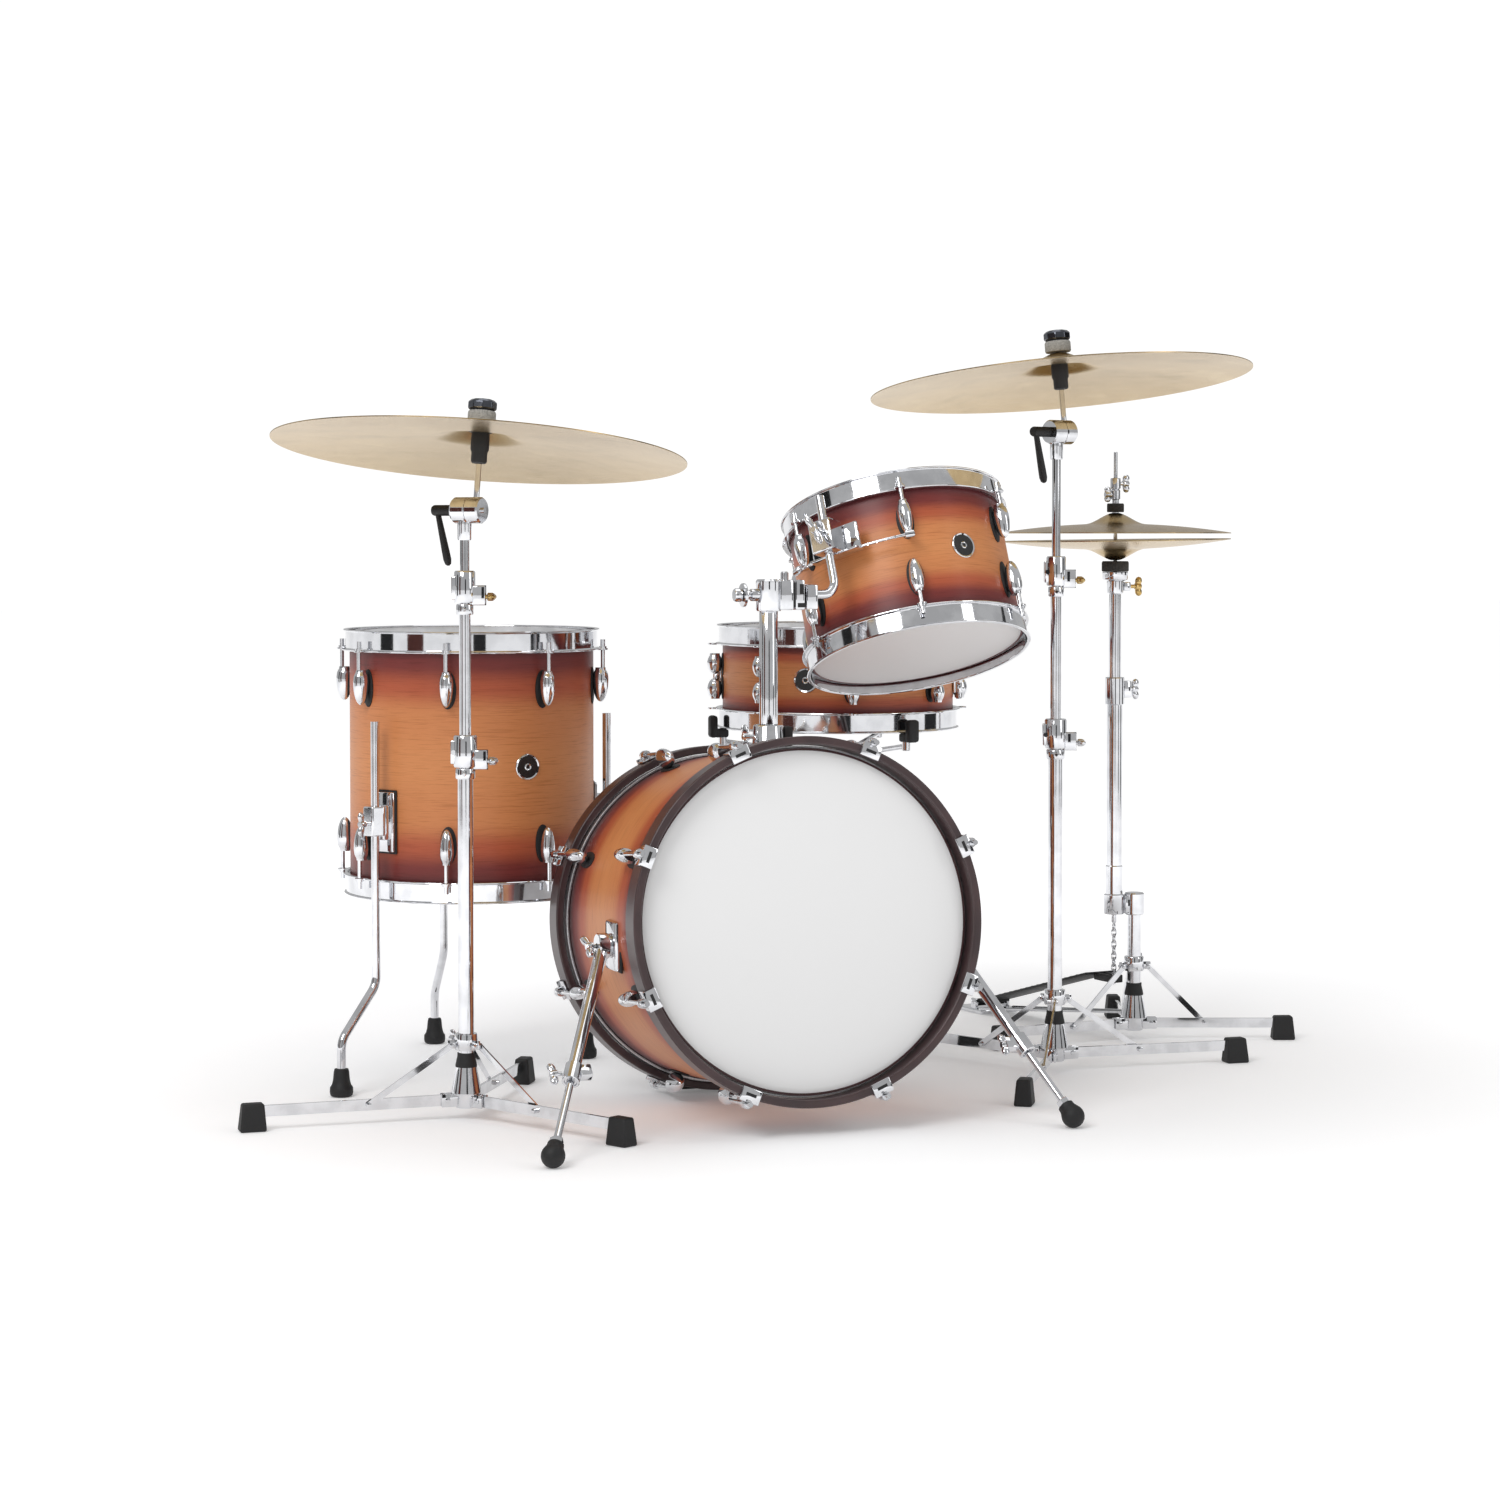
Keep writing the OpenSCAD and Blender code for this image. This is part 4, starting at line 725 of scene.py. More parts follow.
fitted(together("stand_base_castings", *hubs), chrome, "kit_base", "chrome", "stand_hubs")
fitted(together("stand_base_sleeves", *sleeves), gasket_rubber, "kit_base", "rubber")
fitted(together("stand_rubber_feet", *feet), gasket_rubber, "kit_base", "rubber", "stand_feet")

# ---- Tube clamps ----
# Die-cast clamps where one tube slides in the next: a squared body split down one side, a lock
# collar under it, and a wing screw across the split, the split drawn as a dark line of painted shade.
# Some of the screws are brass.
CLAMP_TURN = -20
brass = grained("lacquered_brass", (0xBE9E60, 0xCFB278), 60.0, (0.16, 0.28), Metallic=1.0)


def tube_clamp(name, pole, top, tube, body, screw_metal, *stands_for):
    """A clamp whose top is at a height, round a tube of the given radius."""
    at = shift(pole.x, pole.y, top) @ turn(CLAMP_TURN)
    casting = together(
        name + "_casting",
        turned("upper", [(tube, -0.044), (tube + 0.0062, -0.044), (tube + 0.0070, -0.042),
                         (tube + 0.0070, -0.003), (tube + 0.0056, -0.001), (tube, -0.001)], 40,
               closed=True),
        block("jaw", (0.019, 0.015, 0.026), (tube + 0.0115, 0, -0.034), 0.0018),
        block("heel", (0.012, 0.016, 0.032), (-tube - 0.0045, 0, -0.024), 0.0020),
        turned("lock", [(tube, -0.060), (tube + 0.0036, -0.060), (tube + 0.0044, -0.058),
                        (tube + 0.0044, -0.047), (tube + 0.0034, -0.0455), (tube, -0.0455)], 40,
               closed=True),
        copies(turned("lock_screw", [(0.0026, 0), (0.0026, 0.004), (0.0018, 0.005)], 18),
               [shift(0, -tube - 0.004, -0.053) @ turn(90, "X")]),
        copies(turned("pin", [(0.0034, -0.010), (0.0034, 0.010)], 20),
               [shift(-tube - 0.006, 0, -0.024) @ turn(90, "X")]))
    plated(casting, at, body, *stands_for)
    # Painted shade: a thin black plate set through the solid jaw shows on its edges as the dark line of the split.
    split = block(name + "_split", (0.020, 0.0016, 0.0268), (tube + 0.0116, 0, -0.034))
    in_rubber(split, at, body)
    screw = copies(wing_screw(name + "_screw", 0.006, 0.030, 0.006), [
        shift(tube + 0.019, 0, -0.036) @ turn(90, "X")])
    fitted(copies(screw, [at]), screw_metal, body, "chrome")


BASE_CLAMP_TOP, SNARE_CLAMP_TOP = 0.520, 0.440
LOW_TUBE, HIGH_TUBE = 0.0090, 0.0072
ride_clamp_top, crash_clamp_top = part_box("ride_mid_tube")[1].z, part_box("crash_mid_tube")[1].z
tube_clamp("ride_low_clamp", ride_pole, BASE_CLAMP_TOP, LOW_TUBE, "kit_base", chrome, "stand_clamps")
tube_clamp("crash_low_clamp", crash_pole, BASE_CLAMP_TOP, LOW_TUBE, "kit_base", chrome)
tube_clamp("snare_clamp", middle("snare_shell"), SNARE_CLAMP_TOP, LOW_TUBE, "kit_base", chrome)
for name, pole, top in (("ride", ride_pole, ride_clamp_top), ("crash", crash_pole, crash_clamp_top)):
    tube_clamp(name + "_high_clamp", pole, top, HIGH_TUBE, name + "_mid", brass, name + "_mid_tube")
    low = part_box(name + "_mid_tube")[0].z
    mid = turned(name + "_mid_pole", [(0.0065, low), (0.0079, low), (0.0079, top - 0.045),
                                      (0.0065, top - 0.045)], 40, closed=True)
    plated(mid, shift(pole.x, pole.y), name + "_mid")

# ---- Tilters and cymbal seats ----
# A tilter of two plain chromed discs with a black ratchet lever, a rod through a rubber sleeve
# and flange, and a grey wool felt under a dark-chromed nut.
felt, tree, shader = finish_of("grey_wool_felt", Base_Color=paint(0x9A9996), Roughness=0.95)
tree.links.new(ramp(tree, speckle(tree, 700.0, 4.0), [(0.3, 0x7E7D7A), (0.7, 0xB4B3AF)]),
               shader.inputs["Base Color"])
BELL_REACH, FELT_HIGH, NUT_HIGH, ROD_SIDE = 0.118, 0.016, 0.017, -0.017
leans = {}
for name, pole in (("ride", ride_pole), ("crash", crash_pole)):
    hinge_line = Vector(joints[name + "_tilt"]["axis"])
    lean = Vector(joints[name + "_spin"]["axis"])
    upright = Matrix.Translation(pole) @ Matrix(
        (hinge_line.cross(Vector((0, 0, 1))), hinge_line, Vector((0, 0, 1)))).transposed().to_4x4()
    leaning = Matrix.Translation(pole) @ Matrix(
        (hinge_line.cross(lean), hinge_line, lean)).transposed().to_4x4()
    leans[name] = leaning @ shift(0, ROD_SIDE, BELL_REACH)
    flat = turn(-90, "X")
    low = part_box(name + "_top_tube")[0].z - pole.z
    top_pole = together(
        name + "_tilter_base",
        turned("pole", [(0.0056, low), (0.00635, low + 0.001), (0.00635, -0.012)], 36),
        turned("neck", [(0.0064, -0.040), (0.0090, -0.040), (0.0096, -0.038), (0.0096, -0.016),
                        (0.0064, -0.014)], 36),
        copies(turned("disc", [(0.0165, -0.0070), (0.0178, -0.0058), (0.0178, 0.0125),
                               (0.0160, 0.0150)], 48), [flat]),
        copies(turned("bolt", [(0.0035, -0.031), (0.0035, 0.0)], 20), [flat]))
    plated(top_pole, upright, name + "_top", name + "_top_tube")
    lever = together(
        name + "_tilter_lever",
        copies(turned("hub", [(0.0062, 0.0148), (0.0074, 0.0165), (0.0074, 0.046), (0.0062, 0.0485)],
                      28), [flat]),
        copies(turned("arm", [(0.0042, 0.0), (0.0045, 0.012), (0.0060, 0.056), (0.0062, 0.068),
                              (0.0046, 0.074), (0.0018, 0.0762)], 24),
               [shift(0, 0.042, 0) @ turn(180, "X") @ turn(-13, "X") @ Matrix.Diagonal((1.1, 0.8, 1, 1))]))
    in_rubber(lever, upright, name + "_top")
    rod_top = BELL_REACH + FELT_HIGH + NUT_HIGH
    upper = together(
        name + "_tilter_rod",
        copies(turned("disc", [(0.0160, -0.0278), (0.0178, -0.0256), (0.0178, -0.0088),
                               (0.0168, -0.0076)], 48), [flat]),
        copies(turned("rod", [(0.0040, 0.0), (0.0040, rod_top - 0.002), (0.0032, rod_top)], 28),
               [shift(0, ROD_SIDE)]))
    plated(upper, leaning, name + "_tilter", name + "_cymbal_rod")
    seat = together(
        name + "_seat_sleeve",
        turned("sleeve", [(0.0041, 0.064), (0.0096, 0.064), (0.0108, 0.066), (0.0108, 0.078),
                          (0.0125, 0.082), (0.0125, 0.098), (0.0118, 0.106), (0.0041, 0.106)], 36,
               closed=True),
        turned("flange", [(0.0041, 0.1052), (0.0150, 0.1056), (0.0185, 0.1075), (0.0185, 0.1105),
                          (0.0175, 0.1112), (0.0041, 0.1112)], 36, closed=True))
    in_rubber(seat, leaning @ shift(0, ROD_SIDE), name + "_tilter")
    wool = turned(name + "_felt", [
        (0.0042, BELL_REACH + 0.0006), (0.0180, BELL_REACH + 0.0006), (0.0190, BELL_REACH + 0.0022),
        (0.0190, BELL_REACH + FELT_HIGH - 0.002), (0.0180, BELL_REACH + FELT_HIGH),
        (0.0042, BELL_REACH + FELT_HIGH)], 48, closed=True)
    fitted(copies(wool, [leaning @ shift(0, ROD_SIDE)]), felt, name + "_tilter", "rubber")
    seat_top = BELL_REACH + FELT_HIGH
    nut = together(
        name + "_wing_nut",
        broken(turned("nut", [(0.0150, seat_top), (0.0198, seat_top + 0.003),
                              (0.0198, seat_top + NUT_HIGH - 0.005), (0.0150, seat_top + NUT_HIGH - 0.001)],
                      9), 0.0012),
        turned("stud", [(0.0062, seat_top + NUT_HIGH - 0.003), (0.0058, seat_top + NUT_HIGH - 0.0006)],
               24))
    fitted(copies(nut, [leaning @ shift(0, ROD_SIDE)]), dark_chrome, name + "_tilter", "chrome")

# ---- Cymbals ----
# Cast bronze, hammered and then turned on a lathe, so fine grooves run round the bow and broad
# shallow hammer marks show between them. Both faces are the same pale unlacquered metal.


def cymbal_bronze(name, place):
    """Turned bronze with its grooves centred on one cymbal."""
    material, tree, shader = finish_of(name, Metallic=1.0, Roughness=0.27)
    point = local_point(tree, place)
    # Grooves are drawn 2.5 mm apart, about three times as wide as real ones, so that they show.
    grooves = add_node(tree, "ShaderNodeTexWave", {
        "wave_type": "RINGS", "rings_direction": "Z"}, {
        "Vector": point, "Scale": 2 * math.pi / 20 / 0.0025, "Distortion": 0.6, "Detail": 2.0})
    marks = add_node(tree, "ShaderNodeTexVoronoi", {"feature": "SMOOTH_F1"}, {
        "Vector": point, "Scale": 34.0})
    cloud = add_node(tree, "ShaderNodeTexNoise", None, {
        "Vector": point, "Scale": 11.0, "Detail": 5.0, "Roughness": 0.6})
    tree.links.new(ramp(tree, cloud.outputs["Fac"], [
        (0.28, 0xB0976A), (0.5, 0xBDA478), (0.72, 0xC9B287)]), shader.inputs["Base Color"])
    hammered = add_node(tree, "ShaderNodeBump", None, {
        "Strength": 0.35, "Distance": 0.0012, "Height": marks.outputs["Distance"]})
    turned_face = add_node(tree, "ShaderNodeBump", None, {
        "Strength": 0.22, "Distance": 0.0003, "Height": grooves.outputs["Fac"],
        "Normal": hammered.outputs["Normal"]})
    tree.links.new(turned_face.outputs["Normal"], shader.inputs["Normal"])
    return material


def cymbal(name, width, rise, bell_radius, bell_rise, steps=44):
    """A cymbal with its bell's top at the origin: a shallow bow, a rounded bell and a square-cut edge."""
    sheet, hole = 0.0014, 0.006

    def level(r):
        bell = 0.5 + 0.5 * math.cos(math.pi * min(r / bell_radius, 1))
        return (rise - bell_rise) * (1 - (2 * r / width) ** 2) + bell_rise * bell - rise

    radii = [hole + (width / 2 - hole) * step / steps for step in range(steps + 1)]
    top = [(r, level(r)) for r in radii]
    under = [(r, level(r) - sheet) for r in reversed(radii)]
    return turned(name, top + under, 160, closed=True)


for name, width, rise, bell_rise in (("ride", 0.559, 0.038, 0.019), ("crash", 0.559, 0.046, 0.023)):
    plate = copies(cymbal(name + "_plate", width, rise, 0.066, bell_rise), [leans[name]])
    fitted(plate, cymbal_bronze(name + "_bronze", leans[name]), name + "_cymbal", "cymbal_bronze",
           name + "_cymbal")
HAT_WIDTH, HAT_RISE, HAT_ROCK, HAT_SEAT = 0.356, 0.031, 0.8, 0.7482
top_at = shift(hat_rod.x, hat_rod.y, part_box("hihat_top_cymbal")[1].z)
low_at = shift(hat_rod.x, hat_rod.y, HAT_SEAT) @ turn(-HAT_ROCK, "Y") @ turn(180, "X")
for name, at, body in (("top", top_at, "hihat_clutch"), ("bottom", low_at, "hihat_tube")):
    plate = copies(cymbal(f"hihat_{name}_plate", HAT_WIDTH, HAT_RISE, 0.048, 0.017), [at])
    fitted(plate, cymbal_bronze(f"hihat_{name}_bronze", at), body, "cymbal_bronze",
           f"hihat_{name}_cymbal")

# ---- Hi-hat stand and clutch ----
# A tube slides in a base tube beside the column, with a felt-lined cup for the lower cymbal. The
# pull rod runs down through both to a chain on the footboard, and a clutch grips it at the top.
hat = shift(hat_rod.x, hat_rod.y)
COLUMN_X, COLUMN_Y = 0.031, -0.008
HEEL_X, HEEL_Y, HEEL_Z, TOE_X, TOE_Z = -0.058, 0.345, 0.017, 0.034, 0.102


def chain(name, count, pitch):
    """Oval wire links rising from the origin, each turned a quarter from the last."""
    bpy.ops.mesh.primitive_torus_add(major_radius=0.0042, minor_radius=0.0013, major_segments=20,
                                     minor_segments=8, rotation=(math.pi / 2, 0, 0))
    link = bpy.context.object
    link.name = name
    bpy.ops.object.transform_apply(location=True, rotation=True)
    return smooth(copies(link, [shift(0, 0, i * pitch) @ turn(90 * i) @ Matrix.Diagonal((0.85, 1, 1.5, 1))
                                for i in range(count)]))


column = together(
    "hihat_column",
    turned("base", [
        (0.0097, 0.234), (0.0097, 0.567), (0.0138, 0.567), (0.0150, 0.5655), (0.0150, 0.5255),
        (0.0120, 0.5240), (0.0120, 0.2740), (0.0135, 0.2725), (0.0135, 0.2295), (0.0160, 0.2280),
        (0.0160, 0.1995), (0.0150, 0.1980), (0.0050, 0.1980), (0.0050, 0.2340)], 48, closed=True),
    block("bridge", (0.026, 0.026, 0.028), (COLUMN_X - 0.006, COLUMN_Y / 2, 0.213), 0.0035),
    copies(turned("cap", [(0.0145, 0.197), (0.0155, 0.198), (0.0155, 0.229), (0.0140, 0.231)], 40),
           [shift(COLUMN_X, COLUMN_Y)]),
    block("jaw", (0.013, 0.016, 0.026), (0.0195, 0, 0.548), 0.002),
    copies(wing_screw("screw", 0.006, 0.032, 0.006), [shift(0.025, 0, 0.548)]))
plated(column, hat, "kit_base", "hihat_frame")
# Painted shade: a thin black plate on the bridge's front face stands for a shadowed opening.
window_shade_patch = block("hihat_bridge_window_shade", (0.014, 0.0006, 0.010),
               (COLUMN_X - 0.008, COLUMN_Y / 2 - 0.0131, 0.216))
in_rubber(window_shade_patch, hat, "kit_base")

hinge_at = hat @ shift(HEEL_X, HEEL_Y) @ turn(math.degrees(math.atan2(HEEL_Y, HEEL_X)))
heel = [copies(block("plate", (0.074, 0.072, 0.008), (0.009, 0, 0.004), 0.0022), [hinge_at])]
for side in (-1, 1):
    heel.append(copies(block("ear", (0.015, 0.006, 0.022), (0, side * 0.031, 0.013), 0.0018), [hinge_at]))
    heel.append(between("radius_rod", hat @ Vector((HEEL_X + side * 0.030, HEEL_Y - 0.024, 0.009)),
                        hat @ Vector((COLUMN_X + side * 0.009, COLUMN_Y + 0.0185, 0.042)), 0.0025, 20))
fitted(together("hihat_heel", *heel), chrome, "kit_base", "chrome")

# The footboard is a thin black casting with raised grip bars, and ends in a yoke for the chain.
board_at = hat @ turn(math.degrees(math.atan2(HEEL_Y, HEEL_X)))
reach = math.hypot(HEEL_X, HEEL_Y)
slope = math.atan2(TOE_Z - HEEL_Z - 0.005, reach - 0.014 - TOE_X)
run = math.hypot(TOE_Z - HEEL_Z - 0.005, reach - 0.014 - TOE_X)
on_board = shift(reach - 0.014, 0, HEEL_Z + 0.005) @ turn(180) @ Matrix.Rotation(-slope, 4, "Y")
treads = [block("tread", (0.0030, 0.044, 0.0022), (run * (0.10 + 0.052 * i), 0, 0.0024), 0.0007)
          for i in range(16)]
black_cast = grained("black_powder_coat", (0x0F0F10, 0x1A1A1B), 1400.0, (0.42, 0.6), 0.0002)
board = together(
    "hihat_footboard_plate",
    copies(together("deck", block("board", (run, 0.060, 0.0040), (run / 2, 0, 0), 0.0015), *treads),
           [on_board]),
    block("heel_fold", (0.022, 0.048, 0.005), (reach - 0.011, 0, HEEL_Z + 0.0035), 0.0012),
    copies(turned("barrel", [(0.0052, -0.026), (0.006, -0.025), (0.006, 0.025), (0.0052, 0.026)], 32),
           [shift(reach, 0, HEEL_Z) @ turn(90, "X")]),
    *[block("yoke_arm", (0.050, 0.0038, 0.012), (0.0145, side * 0.0082, TOE_Z - 0.005), 0.0012)
      for side in (-1, 1)],
    *[block("yoke_bar", (0.0036, 0.019, 0.012), (x, 0, TOE_Z - 0.005), 0.001)
      for x in (-0.0090, 0.0095)])
fitted(copies(board, [board_at]), black_cast, "hihat_footboard", "black_metal", "hihat_footboard")
pin = copies(turned("hihat_heel_pin", [(0.0022, -0.036), (0.0030, -0.0352), (0.0030, 0.0352),
                                       (0.0022, 0.036)], 24), [shift(reach, 0, HEEL_Z) @ turn(90, "X")])
plated(pin, board_at, "hihat_footboard")

ROD_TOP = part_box("hihat_pull_rod")[1].z
pull = together(
    "hihat_rod",
    turned("rod", [(0.0024, 0.190), (0.0030, 0.191), (0.0030, ROD_TOP - 0.001), (0.0022, ROD_TOP)], 24),
    turned("socket", [(0.0032, 0.184), (0.0041, 0.186), (0.0041, 0.196), (0.0032, 0.1965)], 24),
    copies(chain("links", 10, 0.0092), [shift(0, 0, TOE_Z - 0.007)]))
plated(pull, hat, "hihat_rod", "hihat_pull_rod")

SEAT_CUP, TUBE_FOOT = 0.748, 0.374
seat = together(
    "hihat_upper_tube",
    turned("tube", [(0.0047, TUBE_FOOT), (0.0094, TUBE_FOOT), (0.0094, 0.696), (0.0125, 0.6975),
                    (0.0130, 0.7000), (0.0130, 0.7165), (0.0190, 0.7185), (0.0200, 0.7200),
                    (0.0200, 0.7300), (0.0190, 0.7310), (0.0047, 0.7310)], 48, closed=True),
    block("lug", (0.012, 0.013, 0.014), (0.0185, 0, 0.708), 0.002))
plated(seat, hat, "hihat_tube", "hihat_tube")
tilt_screw = copies(wing_screw("hihat_tilt_screw", 0.014, 0.030, 0.006), [shift(0.022, 0, 0.708)])
fitted(copies(tilt_screw, [hat]), brass, "hihat_tube", "chrome")
dark_felt = grained("charcoal_felt", (0x2E2D2C, 0x464543), 800.0, (0.9, 1.0), 0.0006)
cup_felt = turned("hihat_seat_felt", [
    (0.0048, 0.7314), (0.0200, 0.7314), (0.0210, 0.7330), (0.0210, SEAT_CUP - 0.0030),
    (0.0196, SEAT_CUP - 0.0006), (0.0048, SEAT_CUP - 0.0006)], 48, closed=True)
fitted(copies(cup_felt, [hat]), dark_felt, "hihat_tube", "rubber")

hat_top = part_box("hihat_top_cymbal")[1].z
clutch = together(
    "hihat_clutch_body",
    turned("stem", [(0.0031, -0.012), (0.0052, -0.012), (0.0052, 0.020), (0.0074, 0.021),
                    (0.0074, 0.034), (0.0058, 0.036), (0.0080, 0.0375), (0.0080, 0.052),
                    (0.0070, 0.0535), (0.0031, 0.0535)], 36, closed=True),
    turned("lower_nut", [(0.0054, -0.0165), (0.0100, -0.0165), (0.0110, -0.0150), (0.0110, -0.0080),
                         (0.0054, -0.0075)], 9, closed=True),
    copies(wing_screw("key", 0.008, 0.028, 0.006), [shift(0.006, 0, 0.045)]),
    copies(wing_screw("stop", 0.004, 0.024, 0.005), [turn(180) @ shift(0.006, 0, 0.028)]))
plated(clutch, hat @ shift(0, 0, hat_top), "hihat_clutch", "hihat_clutch")
clutch_felt = turned("hihat_clutch_felt", [
    (0.0054, 0.0006), (0.0125, 0.0006), (0.0132, 0.0022), (0.0132, 0.0125), (0.0122, 0.0142),
    (0.0054, 0.0142)], 40, closed=True)
fitted(copies(clutch_felt, [hat @ shift(0, 0, hat_top)]), dark_felt, "hihat_clutch", "rubber")

# ---- Snare strainer and wires ----
# A chromed strainer with a throw-off lever, a butt plate opposite, and twenty fine straight wires
# stretched under the lower head between two brass end plates.
STRAINER_TURN = -25
for name, angle in (("snare_strainer", STRAINER_TURN), ("snare_butt", STRAINER_TURN + 180)):
    at = snare_place @ turn(angle)
    face = SNARE_RADIUS + 0.0006
    box_parts = [block("plate", (0.0045, 0.028, 0.049), (face + 0.0022, 0, -0.001), 0.0014),
                 block("foot", (0.0100, 0.028, 0.016), (face + 0.0090, 0, -0.0175), 0.002),
                 copies(turned("tension_knob", [(0.0042, 0), (0.0050, 0.001), (0.0050, 0.008),
                                                (0.0040, 0.010)], 14), [shift(face + 0.009, 0, -0.035)])]
    for side in (-1, 1):
        box_parts.append(block("cheek", (0.0100, 0.0060, 0.034), (face + 0.0090, side * 0.0108, 0.0065),
                               0.0018))
    fitted(copies(together(name, *box_parts), [at]), chrome, "snare", "chrome")
lever_at = snare_place @ turn(STRAINER_TURN) @ shift(SNARE_RADIUS + 0.012)
lever = together(
    "snare_throw_off",
    copies(turned("hub", [(0.0030, -0.006), (0.0040, -0.0052), (0.0040, 0.0052), (0.0030, 0.006)], 28),
           [turn(90, "X")]),
    copies(turned("pin", [(0.0014, -0.0132), (0.0019, -0.0126), (0.0019, 0.0126), (0.0014, 0.0132)], 20),
           [turn(90, "X")]),
    block("blade", (0.0042, 0.0095, 0.034), (0.0002, 0, 0.018), 0.0012),
    block("grip", (0.0075, 0.0115, 0.0150), (0.0010, 0, 0.0335), 0.0024))
plated(lever, lever_at, "snare_lever", "snare_lever")
under = -SNARE_LENGTH / 2 - 0.0026
strands = []
for i in range(20):
    across = (i - 9.5) * 0.0022
    strands.append(between("strand", (-0.146, across, under), (0.146, across, under), 0.0008, 8))
wires = copies(together("snare_wires", *strands), [snare_place @ turn(STRAINER_TURN)])
fitted(wires, chrome, "snare", "chrome")
plates = [block("end_plate", (0.009, 0.048, 0.0014), (side * 0.149, 0, under), 0.0005) for side in (-1, 1)]
fitted(copies(together("snare_wire_plates", *plates), [snare_place @ turn(STRAINER_TURN)]), brass,
       "snare", "chrome")

# ---- Snare basket ----
# Three chromed arms rise from a hub on the stand's tube, each ending in an L-shaped rubber grip
# that the lower hoop sits in. A big faceted wheel sits under the hub.
basket = shift(middle("snare_shell").x, middle("snare_shell").y)
BASKET_HUB, GRIP_LOW = 0.446, 0.4915
grip_out = SNARE_RADIUS + 0.0116
arms = [turned("tube", [(0.0068, 0.190), (0.0079, 0.191), (0.0079, BASKET_HUB - 0.018),
                        (0.0068, BASKET_HUB - 0.017)], 36),
        turned("wheel", [(0.0150, BASKET_HUB - 0.018), (0.0175, BASKET_HUB - 0.016),
                         (0.0175, BASKET_HUB - 0.004), (0.0150, BASKET_HUB - 0.002)], 18),
        turned("hub", [(0.0215, BASKET_HUB), (0.0230, BASKET_HUB + 0.0015),
                       (0.0230, BASKET_HUB + 0.0140), (0.0215, BASKET_HUB + 0.0158)], 48)]
grips = []
for angle in (48, 173, 283.5):
    at = turn(angle)
    arms.append(bent_rod("arm", [at @ Vector(p) for p in (
        (0.018, 0, BASKET_HUB + 0.008), (0.075, 0, BASKET_HUB + 0.010),
        (grip_out - 0.008, 0, GRIP_LOW - 0.020))], 0.0040, 0.060))
    arms.append(copies(turned("knuckle", [(0.0054, -0.027), (0.0065, -0.0258), (0.0065, -0.0115)], 28),
                       [at @ shift(grip_out - 0.008, 0, GRIP_LOW)]))
    grips.append(copies(block("grip_foot", (0.0220, 0.0180, 0.0134), (grip_out - 0.005, 0,
                                                                     GRIP_LOW - 0.0071), 0.0035), [at]))
    grips.append(copies(block("grip_wall", (0.0130, 0.0200, 0.0340), (grip_out + 0.0075, 0,
                                                                     GRIP_LOW + 0.003), 0.0045), [at]))
fitted(copies(together("snare_basket_arms", *arms), [basket]), chrome, "snare", "chrome", "snare_basket")
fitted(copies(together("snare_basket_grips", *grips), [basket]), gasket_rubber, "snare", "rubber")

# ---- Bass drum pedal ----
# A black base plate with two chromed posts, a cast footboard hinged at the heel, and a chain over
# a cam that throws the felt beater at the head.
AXLE = Vector(joints["pedal_strike"]["pos_m"])
PEDAL_HEEL = Vector(joints["pedal_press"]["pos_m"])
CHAIN_FOOT = Vector(joints["pedal_chain_swing"]["pos_m"])
at_axle, pedal_heel = Matrix.Translation(AXLE), Matrix.Translation(PEDAL_HEEL)
sole = [block("sole", (0.109, 0.316, 0.0048), (AXLE.x, AXLE.y + 0.1265, 0.0025), 0.0018),
        block("hoop_plate", (0.040, 0.020, 0.0098), (AXLE.x, AXLE.y - 0.021, 0.009), 0.002)]
fitted(together("pedal_sole", *sole), black_cast, "kit_base", "black_metal", "pedal_frame")
posts = []
for side in (-1, 1):
    posts.append(block("post", (0.0110, 0.0190, 0.1330), (AXLE.x + side * 0.046, AXLE.y, 0.0700), 0.0030))
    posts.append(copies(turned("bearing", [(0.0052, -0.0065), (0.0120, -0.0065), (0.0130, -0.0055),
                                           (0.0130, 0.0055), (0.0120, 0.0065), (0.0052, 0.0065)], 40,
                               closed=True), [at_axle @ shift(side * 0.046) @ turn(90, "Y")]))
    posts.append(block("heel_ear", (0.0076, 0.0170, 0.0200), (PEDAL_HEEL.x + side * 0.039,
                                                            PEDAL_HEEL.y, 0.0150), 0.0018))
fitted(together("pedal_posts", *posts), chrome, "kit_base", "chrome")
board_run = Vector((0, AXLE.y + 0.006, 0.072)) - Vector((0, PEDAL_HEEL.y - 0.001, 0.018))
on_pedal = (Matrix.Translation((AXLE.x, PEDAL_HEEL.y - 0.001, 0.018)) @ turn(-90)
            @ Matrix.Rotation(-math.atan2(board_run.z, -board_run.y), 4, "Y"))
pedal_run = board_run.length
grip_bars = [block("tread", (0.0030, 0.042, 0.0020), (pedal_run * (0.12 + 0.06 * i), 0, 0.0028), 0.0007)
             for i in range(13)]
board = together(
    "pedal_footboard_plate",
    copies(together("deck", block("board", (pedal_run, 0.058, 0.0048), (pedal_run / 2, 0, 0), 0.0016),
                    *grip_bars), [on_pedal]),
    copies(turned("barrel", [(0.0056, -0.032), (0.0065, -0.031), (0.0065, 0.031), (0.0056, 0.032)], 32),
           [pedal_heel @ turn(90, "Y")]),
    *[block("yoke", (0.0040, 0.0120, 0.0180), (AXLE.x + side * 0.008, CHAIN_FOOT.y, 0.0735), 0.0012)
      for side in (-1, 1)])
satin_alloy = grained("satin_cast_alloy", (0x9FA1A5, 0xB4B6BA), 500.0, (0.28, 0.42), 0.0001, Metallic=1.0)
fitted(board, satin_alloy, "pedal_footboard", "chrome", "pedal_footboard")
pedal_pin = copies(turned("pedal_heel_pin", [(0.0022, -0.043), (0.0030, -0.0422), (0.0030, 0.0422),
                                             (0.0022, 0.043)], 24), [pedal_heel @ turn(90, "Y")])
